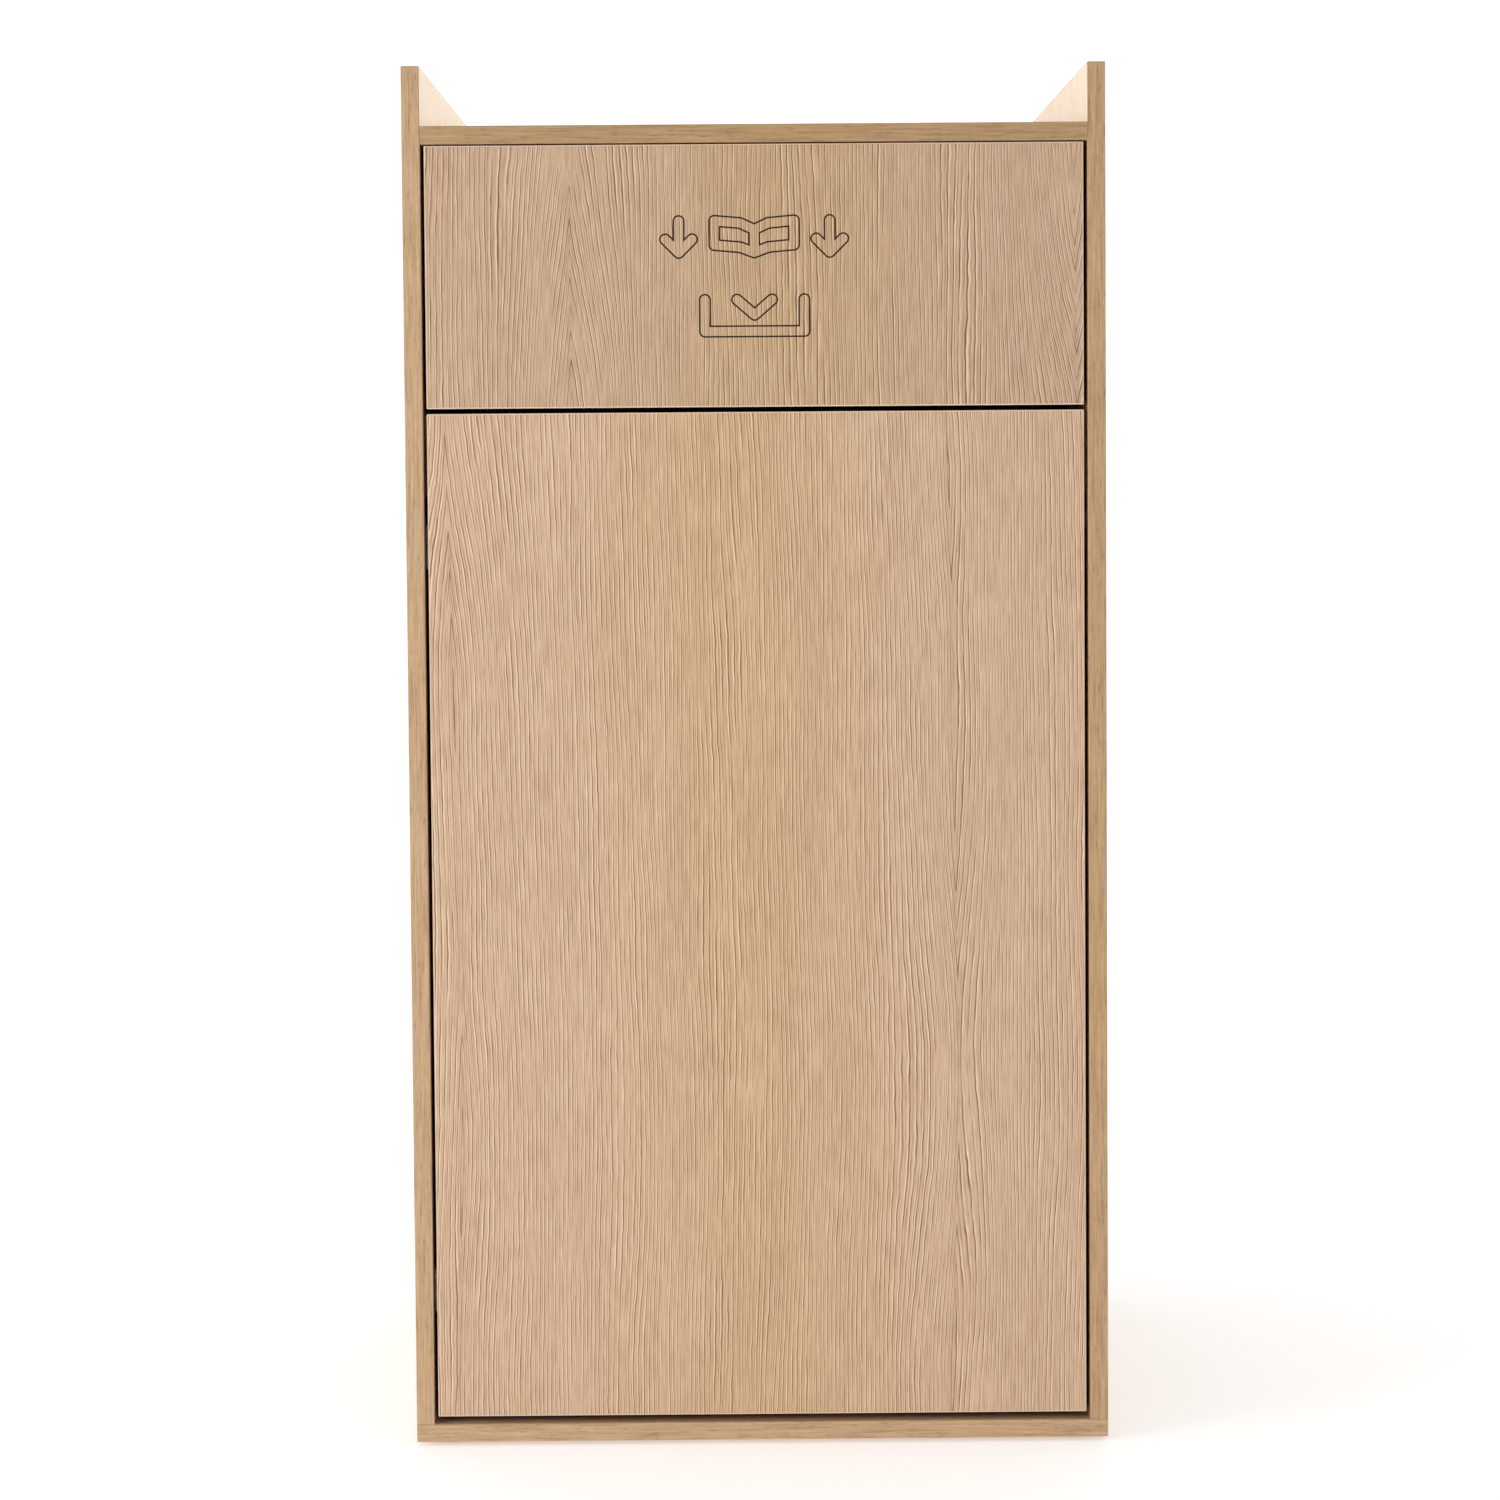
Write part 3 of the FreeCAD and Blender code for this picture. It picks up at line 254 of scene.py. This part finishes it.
# Points in millimetres: in from the wall's foot, and up from the bin's lowest face
FOOT_RING = ((24, 3), (22, 0), (5, 0), (1.5, 1.5))
WALL_STARTS = 5 * MM
LOW_WALL = 60 * MM
COLLAR_PROUD = 1.2 * MM
ABOVE_COLLAR_STEP = (58, 56, 30, 6)     # millimetres down from the rim
BELOW_COLLAR_STEP = (62, 60)
# In from the rim's widest line, down from its top, and 1 where the skirt drops at the hand grips
RIM = ((6, 4, 0), (3.5, 6, 0), (3, 18, 1), (2.4, 19.6, 1), (1, 20, 1), (0, 18.5, 1), (0, 4, 0),
       (1.2, 1.2, 0), (4, 0, 0), (15, 0, 0), (16.6, 1.4, 0))
RIM_INSIDE = 6 * MM
# In from the wall's inner face, and up from the bin's lowest face
INNER_FLOOR = ((0, 16), (2.5, 9), (9, 6))
UNDERSIDE = 3 * MM          # within the foot ring, up from the bin's lowest face
INNER_FLOOR_HEIGHT = 6 * MM
GRIP_DROP = 18 * MM
GRIP_HALF_WIDTH = 78 * MM
GRIP_EASE = 22 * MM


# ---------------------------------------------------------------- shader graph helper
# The Mix node's sockets for colours
MIX_FIRST = 6
MIX_SECOND = 7
MIX_RESULT = 2


class Graph:
    """A material under construction. Its methods return sockets."""

    def __init__(self, name):
        self.material = bpy.data.materials.new(name)
        self.material.use_nodes = True
        self.tree = self.material.node_tree
        self.shader = self.tree.nodes["Principled BSDF"]
        self.cache = {}

    def node(self, kind, **settings):
        made = self.tree.nodes.new(kind)
        for name, value in settings.items():
            setattr(made, name, value)
        return made

    def feed(self, socket, value):
        if hasattr(value, "links"):
            self.tree.links.new(value, socket)
        else:
            socket.default_value = value

    def math(self, operation, first, second=0.0, third=0.0, clamp=False):
        made = self.node("ShaderNodeMath", operation=operation, use_clamp=clamp)
        for socket, value in zip(made.inputs, (first, second, third)):
            self.feed(socket, value)
        return made.outputs[0]

    def scaled(self, value, factor):
        return self.math("MULTIPLY", value, factor)

    def added(self, first, *others):
        total = first
        for other in others:
            total = self.math("ADD", total, other)
        return total

    def ramp(self, value, low, high, to_low=0.0, to_high=1.0):
        """A smooth step from to_low to to_high as value goes from low to high."""
        made = self.node("ShaderNodeMapRange", interpolation_type="SMOOTHSTEP")
        for name, number in (("Value", value), ("From Min", low), ("From Max", high),
                             ("To Min", to_low), ("To Max", to_high)):
            self.feed(made.inputs[name], number)
        return made.outputs[0]

    def fall(self, value, low, high):
        """A smooth step from 1 to 0 as value goes from low to high."""
        return self.ramp(value, low, high, 1.0, 0.0)

    def point(self, x, y, z=0.0):
        made = self.node("ShaderNodeCombineXYZ")
        for socket, value in zip(made.inputs, (x, y, z)):
            self.feed(socket, value)
        return made.outputs[0]

    def place(self):
        """The surface point's x, y and z in metres, in the object's own frame."""
        if "place" not in self.cache:
            coordinates = self.node("ShaderNodeTexCoord")
            split = self.node("ShaderNodeSeparateXYZ")
            self.feed(split.inputs[0], coordinates.outputs["Object"])
            turned = self.node("ShaderNodeSeparateXYZ")
            self.feed(turned.inputs[0], coordinates.outputs["Normal"])
            self.cache["place"] = dict(zip("xyz", split.outputs))
            self.cache["facing"] = dict(zip("xyz", turned.outputs))
        return self.cache["place"]

    def facing(self, axis):
        """1 where the surface faces along an axis, either way."""
        self.place()
        size = self.math("ABSOLUTE", self.cache["facing"][axis])
        return self.math("GREATER_THAN", size, FACING_LEAST)

    def waves(self, across, along, waves, seed):
        """Stretched noise that swings by the waves' size either way."""
        made = self.node("ShaderNodeTexNoise", noise_dimensions="3D")
        self.feed(made.inputs["Vector"], self.point(self.scaled(across, waves.across),
                                                    self.scaled(along, waves.along),
                                                    seed + waves.offset))
        self.feed(made.inputs["Scale"], 1.0)
        self.feed(made.inputs["Detail"], waves.detail)
        self.feed(made.inputs["Roughness"], waves.roughness)
        return self.math("MULTIPLY_ADD", made.outputs[0], 2 * waves.size, -waves.size)

    def random(self, value, seed):
        """A random number from 0 to 1 for each value."""
        made = self.node("ShaderNodeTexWhiteNoise", noise_dimensions="2D")
        self.feed(made.inputs["Vector"], self.point(value, seed))
        return made.outputs[0]

    def mix(self, factor, first, second, blend="MIX"):
        made = self.node("ShaderNodeMix", data_type="RGBA", blend_type=blend)
        self.feed(made.inputs[0], factor)
        for number, colour in ((MIX_FIRST, first), (MIX_SECOND, second)):
            if not hasattr(colour, "links"):
                colour = (*colour, 1.0)
            self.feed(made.inputs[number], colour)
        return made.outputs[MIX_RESULT]

    def colour_ramp(self, value, stops):
        made = self.node("ShaderNodeValToRGB")
        elements = made.color_ramp.elements
        while len(elements) < len(stops):
            elements.new(0.5)
        for element, (position, colour) in zip(elements, stops):
            element.position = position
            element.color = (*colour, 1.0)
        self.feed(made.inputs[0], value)
        return made.outputs[0]

    def finish(self, colour, roughness, bump=None, bump_distance=0.0, bump_strength=1.0,
               metallic=0.0):
        self.feed(self.shader.inputs["Base Color"], colour)
        self.feed(self.shader.inputs["Roughness"], roughness)
        self.shader.inputs["Metallic"].default_value = metallic
        if bump is not None:
            made = self.node("ShaderNodeBump")
            made.inputs["Distance"].default_value = bump_distance
            made.inputs["Strength"].default_value = bump_strength
            self.feed(made.inputs["Height"], bump)
            self.feed(self.shader.inputs["Normal"], made.outputs[0])
        return self.material


# ---------------------------------------------------------------- wood-grain laminate
def ring_field(graph, across, along, board, middle):
    """The growth rings: a length that rises by one ring spacing from ring to ring.

    It folds back along each line of arches. The arches point along the grain, by the board's
    slope for each metre from its middle. The second value returned is 0 on such a line and 1
    clear of it.
    """
    seed = board.seed
    from_fold = graph.math("SUBTRACT", across, board.fold_at)
    wandering = graph.math("ADD", graph.waves(across, along, WANDER, seed), from_fold)
    folded = graph.math("PINGPONG", wandering, FOLD_SPACING)
    near_low = graph.fall(folded, 0.0, ARCH_REACH)
    near_high = graph.ramp(folded, FOLD_SPACING - ARCH_REACH, FOLD_SPACING)
    rise = graph.scaled(graph.math("SUBTRACT", along, middle), board.slope)
    bend = graph.added(graph.waves(across, along, ARCHES, seed), rise)
    bent = graph.math("MULTIPLY", bend, graph.math("ADD", near_low, near_high))
    uneven = [graph.waves(across, along, waves, seed) for waves in (RING_BANDS, DRIFT, WOBBLE)]
    field = graph.added(folded, bent, *uneven)
    from_line = graph.math("MINIMUM", folded, graph.math("SUBTRACT", FOLD_SPACING, folded))
    return field, graph.ramp(from_line, 0.0, FOLD_BLUR)


def ring_line(graph, rings, across, along, seed, line):
    """Where each ring ends: a dark line that meets a light one along a sharp edge.

    Both lines are broken up along their length, and each ring has a random strength.
    """
    ring = graph.math("ROUND", rings)
    offset = graph.math("SUBTRACT", rings, ring)
    dark = graph.math("MULTIPLY", graph.ramp(offset, -line.dark_width, DARK_FULL),
                      graph.fall(offset, DARK_FULL, DARK_END))
    light = graph.math("MULTIPLY", graph.ramp(offset, LIGHT_START, LIGHT_FULL),
                       graph.fall(offset, LIGHT_FADES, line.light_width))
    ring_strength = graph.math("MULTIPLY_ADD", graph.random(ring, seed + line.offset),
                               line.spread, line.least)
    strength = graph.math("ADD", graph.waves(across, along, line.breaks, seed), ring_strength,
                          clamp=True)
    return graph.math("MULTIPLY", dark, strength), graph.math("MULTIPLY", light, strength)


def grain(graph, across, along, board, middle):
    """The printed and embossed grain: tone from 0 to 1, and height for the bump."""
    seed = board.seed
    field, clear = ring_field(graph, across, along, board, middle)
    rings = graph.scaled(field, 1 / RING_SPACING)
    jitter = graph.random(graph.math("FLOOR", rings), seed + FINE_JITTER_OFFSET)
    between = graph.math("ADD", rings,
                         graph.math("MULTIPLY_ADD", jitter, FINE_JITTER, FINE_PLACE))
    dark, light = ring_line(graph, rings, across, along, seed, MAIN_LINE)
    fine_dark, fine_light = ring_line(graph, between, across, along, seed, FINE_LINE)
    dark = graph.added(dark, graph.scaled(fine_dark, FINE_SHARE))
    light = graph.added(light, graph.scaled(fine_light, FINE_SHARE))
    light = graph.math("MULTIPLY", light, clear)
    fibres = graph.waves(across, along, FIBRES, seed)
    tone = graph.added(MIDDLE_TONE, graph.scaled(dark, DARK_TONE),
                       graph.scaled(light, LIGHT_TONE), graph.scaled(fibres, FIBRE_TONE),
                       graph.waves(across, along, CLOUDS, seed))
    height = graph.added(graph.scaled(dark, DARK_HEIGHT), graph.scaled(light, LIGHT_HEIGHT),
                         graph.scaled(fibres, FIBRE_HEIGHT))
    return tone, height


def core_colour(graph):
    """Pressed wood chips, which show in drilled holes and on unbanded edges."""
    place = graph.place()
    chips = graph.node("ShaderNodeTexVoronoi")
    graph.feed(chips.inputs["Vector"], graph.point(place["x"], place["y"], place["z"]))
    graph.feed(chips.inputs["Scale"], CHIP_SCALE)
    return graph.mix(chips.outputs["Color"], CORE_CHIP_DARK, CORE_CHIP_LIGHT)


def yellowness(graph, across, along, board):
    """1 where the board is yellowest: in patches, or in a stripe about its tint_centre."""
    hue = graph.waves(across, along, HUE, board.seed)
    if board.tint_centre is None:
        return graph.ramp(hue, *YELLOW_HUES)
    off_centre = graph.math("ABSOLUTE", graph.math("SUBTRACT", across, board.tint_centre))
    return graph.fall(graph.math("MULTIPLY_ADD", hue, YELLOW_RAGGED, off_centre), *YELLOW_REACH)


def in_core(graph, board, low, high):
    """1 inside the board and 0 in the laminate on its two wide faces."""
    axis = "xyz".index(board.through)
    middle = (low[axis] + high[axis]) / 2
    half = (high[axis] - low[axis]) / 2
    off_middle = graph.math("ABSOLUTE",
                            graph.math("SUBTRACT", graph.place()[board.through], middle))
    sheet_inside = half - SHEET_THICKNESS
    return graph.fall(off_middle, sheet_inside - SHEET_BLEND, sheet_inside)


def laminate(board):
    """Laminated board: grain on its two wide faces, and the core between them."""
    graph = Graph(board.node + "_laminate")
    place = graph.place()
    across = place[board.across]
    along = place[board.along]
    low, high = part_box(board.node)
    run = "xyz".index(board.along)
    tone, height = grain(graph, across, along, board, (low[run] + high[run]) / 2)
    # A board's shade below 1 darkens its tints as painted shade
    tints = tinted((PINK_TINT, YELLOW_TINT), (board.shade,) * 3)
    tint = graph.mix(yellowness(graph, across, along, board), *tints)
    colour = graph.mix(1.0, graph.colour_ramp(tone, LAMINATE_STOPS), tint, "MULTIPLY")
    core = board.core or core_colour(graph)
    colour = graph.mix(in_core(graph, board, low, high), colour, core)
    roughness = graph.math("MULTIPLY_ADD", tone, TONE_SHINE, LAMINATE_ROUGHNESS)
    return graph.finish(colour, roughness, height, LAMINATE_EMBOSS, LAMINATE_BUMP)


def strip_place(graph, along_for):
    """How far across and along its strip of edge band the surface point is."""
    place = graph.place()
    across = 0.0
    along = 0.0
    for facing, runs in along_for.items():
        other = next(axis for axis in "xyz" if axis not in (facing, runs))
        mask = graph.facing(facing)
        along = graph.math("ADD", along, graph.math("MULTIPLY", mask, place[runs]))
        across = graph.math("ADD", across, graph.math("MULTIPLY", mask, place[other]))
    return across, along


def edge_band(name, along_for, seed, colours):
    """Edge band: fine broken grain that runs along each strip."""
    graph = Graph(name)
    across, along = strip_place(graph, along_for)
    bent = graph.math("ADD", graph.waves(across, along, BAND_BEND, seed), across)
    stripes = graph.waves(bent, along, STRIPES, seed)
    dashes = graph.ramp(graph.waves(bent, along, DASHES, seed), *DASH_EDGES)
    tone = graph.added(BAND_MIDDLE_TONE, graph.scaled(stripes, STRIPE_TONE),
                       graph.scaled(dashes, DASH_TONE),
                       graph.waves(across, along, BAND_CLOUDS, seed))
    colour = graph.colour_ramp(tone, tuple(zip(BAND_TONES, colours)))
    return graph.finish(colour, BAND_ROUGHNESS, graph.added(stripes, dashes), BAND_EMBOSS,
                        BAND_BUMP)


# ---------------------------------------------------------------- metals, plastics, rubber
def metal(name, colour, roughness, seed):
    """Plated or spring steel with a fine grain and faint wear."""
    graph = Graph(name)
    place = graph.place()
    fine = graph.waves(place["x"], place["z"], METAL_GRAIN, seed)
    worn = graph.waves(place["x"], place["y"], METAL_WEAR, seed)
    worn_colour = tuple(part * WORN_SHADE for part in colour)
    shade = graph.mix(graph.ramp(worn, *WEAR_EDGES), colour, worn_colour)
    rough = graph.math("MULTIPLY_ADD", fine, METAL_ROUGHNESS_SWING, roughness)
    return graph.finish(shade, rough, fine, METAL_EMBOSS, METAL_BUMP, metallic=1.0)


def moulded(name, colour, roughness, seed, texture_scale=1400.0, emboss=0.06 * MM):
    """Plastic, rubber or turned wood with a fine texture and faint scuffs."""
    graph = Graph(name)
    place = graph.place()
    grit = graph.node("ShaderNodeTexNoise", noise_dimensions="3D")
    graph.feed(grit.inputs["Vector"], graph.point(place["x"], place["y"], place["z"]))
    graph.feed(grit.inputs["Scale"], texture_scale)
    graph.feed(grit.inputs["Detail"], GRIT_DETAIL)
    scuffs = graph.waves(place["x"], place["z"], SCUFFS, seed)
    scuffed = tuple(min(1.0, part * SCUFF_GAIN + SCUFF_LIFT) for part in colour)
    shade = graph.mix(graph.ramp(scuffs, *SCUFF_EDGES), colour, scuffed)
    rough = graph.math("MULTIPLY_ADD", scuffs, SCUFF_ROUGHNESS, roughness)
    return graph.finish(shade, rough, grit.outputs[0], emboss, PLASTIC_BUMP)


def set_material(node, material):
    """The material for every slot of a CAD node."""
    for slot in frame["nodes"][node].material_slots:
        slot.material = material


def dress_boards():
    for board in BOARDS:
        set_material(board.node, laminate(board))
    for number, (board, along_for, colours) in enumerate(EDGE_BANDS):
        seed = FIRST_BAND_SEED + BAND_SEED_STEP * number
        set_material(board + "_edge_band",
                     edge_band(board + "_band_grain", along_for, seed, colours))


def dress_hardware():
    """One material for each slot that isn't board or edge band."""
    beech_tan = from_srgb(206, 170, 124)
    by_slot = {
        "zinc": metal("zinc_plate", (0.62, 0.62, 0.60), roughness=0.34, seed=5.0),
        "nickel_steel": metal("nickel_plate", (0.70, 0.68, 0.65), roughness=0.24, seed=9.0),
        "spring_steel": metal("spring_steel", (0.36, 0.36, 0.37), roughness=0.3, seed=13.0),
        "beech": moulded("beech_dowel", beech_tan, roughness=0.6, seed=3.0, texture_scale=700.0),
        "glide_plastic": moulded("black_glide", (0.028, 0.028, 0.03), roughness=0.42, seed=7.0),
        "rubber": moulded("black_rubber", (0.03, 0.03, 0.03), roughness=0.75, seed=11.0),
        "latch_plastic": moulded("latch_black", (0.045, 0.045, 0.047), roughness=0.4, seed=15.0),
        "white_nylon": moulded("white_nylon", (0.80, 0.79, 0.74), roughness=0.38, seed=19.0),
        "bin_plastic": moulded("bin_polyethylene", (0.055, 0.060, 0.066), roughness=0.46,
                               seed=23.0, texture_scale=700.0, emboss=0.12 * MM),
    }
    for part in frame["record"]["subparts"]:
        material = by_slot.get(part["material_slot"])
        if material:
            set_material(part["node"], material)
    add_bin(by_slot["bin_plastic"])


# ---------------------------------------------------------------- moulded bin
def bin_profile(foot, top, wide):
    """The bin's section from the middle of its underside to the middle of its floor inside.

    Each entry is half the width there, the height, and how far the point drops at the grips.
    """
    wall_foot = wide - BIN_FOOT_IN
    wall_top = wide - BIN_TOP_IN
    middle = (foot + top) / 2

    def on_wall(height, inset=0.0):
        share = (height - foot) / (top - foot)
        return (wall_foot + (wall_top - wall_foot) * share - inset, height, 0.0)

    profile = [(0.0, foot + UNDERSIDE, 0.0)]
    profile += [(wall_foot - inward * MM, foot + up * MM, 0.0) for inward, up in FOOT_RING]
    profile += [on_wall(foot + WALL_STARTS), on_wall(foot + LOW_WALL), on_wall(middle)]
    profile += [on_wall(top - down * MM) for down in BELOW_COLLAR_STEP]
    profile += [on_wall(top - down * MM, -COLLAR_PROUD) for down in ABOVE_COLLAR_STEP]
    profile += [(wide - inward * MM, top - down * MM, drops * GRIP_DROP)
                for inward, down, drops in RIM]
    profile += [on_wall(top - RIM_INSIDE, BIN_WALL), on_wall(middle, BIN_WALL)]
    profile += [on_wall(foot + up * MM, BIN_WALL + inward * MM) for inward, up in INNER_FLOOR]
    profile.append((0.0, foot + INNER_FLOOR_HEIGHT, 0.0))
    return profile


def rounded_square(half, corner):
    """Points round a square with rounded corners."""
    straight = half - corner
    points = []
    for turn in range(4):
        quarter = Matrix.Rotation(math.pi / 2 * turn, 2)
        for step in range(SIDE_STEPS):
            points.append(quarter @ Vector((half, -straight + 2 * straight * step / SIDE_STEPS)))
        for step in range(CORNER_STEPS):
            angle = math.pi / 2 * step / CORNER_STEPS
            points.append(quarter @ Vector((straight + corner * math.cos(angle),
                                            straight + corner * math.sin(angle))))
    return points


def grip_share(x, y):
    """1 within a hand grip, in the middle of the left and right sides, easing to 0 beside it."""
    if abs(x) <= abs(y):
        return 0.0
    beside = min(1.0, max(0.0, (GRIP_HALF_WIDTH - abs(y)) / GRIP_EASE))
    return beside * beside * (3 - 2 * beside)


def bin_rings(shape, low, high):
    """One ring of vertices for each point of the profile, or one vertex on the middle line."""
    middle_x = (low[0] + high[0]) / 2
    middle_y = (low[1] + high[1]) / 2
    wide = (high[0] - low[0]) / 2
    rings = []
    for half, height, drop in bin_profile(low[2], high[2], wide):
        if half == 0.0:
            rings.append([shape.verts.new((middle_x, middle_y, height))])
            continue
        corner = FOOT_CORNER + (half - wide + BIN_FOOT_IN) * CORNER_GROWTH
        rings.append([shape.verts.new((middle_x + x, middle_y + y,
                                       height - drop * grip_share(x, y)))
                      for x, y in rounded_square(half, corner)])
    return rings


def join_rings(shape, lower, upper):
    """Smooth faces between two rings, either of which may be a single vertex."""
    count = max(len(lower), len(upper))
    for here in range(count):
        after = (here + 1) % count
        if len(lower) == 1:
            corners = (lower[0], upper[after], upper[here])
        elif len(upper) == 1:
            corners = (lower[here], lower[after], upper[0])
        else:
            corners = (lower[here], lower[after], upper[after], upper[here])
        shape.faces.new(corners).smooth = True


def link_mesh(name, shape, material):
    """An object made from the finished shape, in the scene."""
    mesh = bpy.data.meshes.new(name)
    shape.to_mesh(mesh)
    shape.free()
    mesh.materials.append(material)
    made = bpy.data.objects.new(name, mesh)
    bpy.context.scene.collection.objects.link(made)
    return made


def add_bin(material):
    """The collection bin with its rolled rim, stepped collar, hand grips and foot ring."""
    low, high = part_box("collection_bin")
    shape = bmesh.new()
    rings = bin_rings(shape, low, high)
    for lower, upper in zip(rings, rings[1:]):
        join_rings(shape, lower, upper)
    bmesh.ops.recalc_face_normals(shape, faces=shape.faces)
    tub = link_mesh("moulded_bin", shape, material)
    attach(tub, "bin")
    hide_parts("collection_bin")


# ---------------------------------------------------------------- stage, lights, camera
def studio_white():
    """White with a faint mottle and a glow of its own."""
    graph = Graph("studio_white")
    place = graph.place()
    mottle = graph.waves(place["x"], place["y"], MOTTLE, MOTTLE_SEED)
    shade = graph.ramp(mottle, -1.0, 1.0, *SWEEP_WHITES)
    graph.shader.inputs["Emission Color"].default_value = (1.0, 1.0, 1.0, 1.0)
    graph.shader.inputs["Emission Strength"].default_value = SWEEP_GLOW
    return graph.finish(graph.point(shade, shade, shade), SWEEP_ROUGHNESS)


def add_stage():
    """A white floor that curves up into a white wall well behind the object."""
    profile = [(SWEEP_FRONT, 0.0), (SWEEP_BEND_START, 0.0)]
    for step in range(1, SWEEP_BEND_STEPS + 1):
        angle = math.pi / 2 * step / SWEEP_BEND_STEPS
        profile.append((SWEEP_BEND_START + SWEEP_BEND_RADIUS * math.sin(angle),
                        SWEEP_BEND_RADIUS * (1 - math.cos(angle))))
    profile.append((SWEEP_BEND_START + SWEEP_BEND_RADIUS, SWEEP_TOP))
    shape = bmesh.new()
    rows = []
    for y, z in profile:
        rows.append([shape.verts.new((x, y, z)) for x in (-SWEEP_HALF_WIDTH, SWEEP_HALF_WIDTH)])
    for lower, upper in zip(rows, rows[1:]):
        shape.faces.new((lower[0], lower[1], upper[1], upper[0])).smooth = True
    sweep = link_mesh("studio_sweep", shape, studio_white())


def add_area_light(name, place, target, size, power, colour=(1.0, 1.0, 1.0), lit=()):
    """A softbox. Where lit names CAD nodes, its light is flagged off everything else."""
    data = bpy.data.lights.new(name, "AREA")
    data.shape = "RECTANGLE"
    data.size, data.size_y = size
    data.energy = power
    data.color = colour
    light = bpy.data.objects.new(name, data)
    light.location = place
    light.rotation_euler = (Vector(target) - Vector(place)).to_track_quat("-Z", "Y").to_euler()
    bpy.context.scene.collection.objects.link(light)
    if lit:
        receivers = bpy.data.collections.new(name + "_receivers")
        for node in lit:
            receivers.objects.link(frame["nodes"][node])
        light.light_linking.receiver_collection = receivers


def add_lights():
    add_area_light("key_softbox", KEY_PLACE, KEY_TARGET, KEY_SIZE, KEY_WATTS)
    for side, sign, power in RAIL_LIGHTS:
        place = (-sign * RAIL_LIGHT_OUT, RAIL_LIGHT_BACK, RAIL_LIGHT_HEIGHT)
        target = (sign * RAIL_TARGET[0], *RAIL_TARGET[1:])
        add_area_light(f"{side}_rail_softbox", place, target, RAIL_LIGHT_SIZE, power,
                       RAIL_LIGHT_COLOUR, (f"{side}_side_panel",))
    world = bpy.data.worlds.new("studio")
    world.use_nodes = True
    background = world.node_tree.nodes["Background"]
    background.inputs["Color"].default_value = (1.0, 1.0, 1.0, 1.0)
    background.inputs["Strength"].default_value = WORLD_STRENGTH
    bpy.context.scene.world = world


def add_camera():
    data = bpy.data.cameras.new("camera")
    data.lens = LENS_MM
    data.sensor_width = SENSOR_MM
    data.shift_y = CAMERA_SHIFT_Y
    camera = bpy.data.objects.new("camera", data)
    turn = (Matrix.Rotation(math.radians(CAMERA_YAW), 4, "Z")
            @ Matrix.Rotation(math.radians(90 - CAMERA_PITCH), 4, "X")
            @ Matrix.Rotation(math.radians(-CAMERA_ROLL), 4, "Z"))
    camera.matrix_world = Matrix.Translation(CAMERA_PLACE) @ turn
    bpy.context.scene.collection.objects.link(camera)
    bpy.context.scene.camera = camera


def main():
    dress_boards()
    dress_hardware()
    add_stage()
    add_lights()
    add_camera()
    bpy.context.scene.view_settings.view_transform = "Standard"


main()
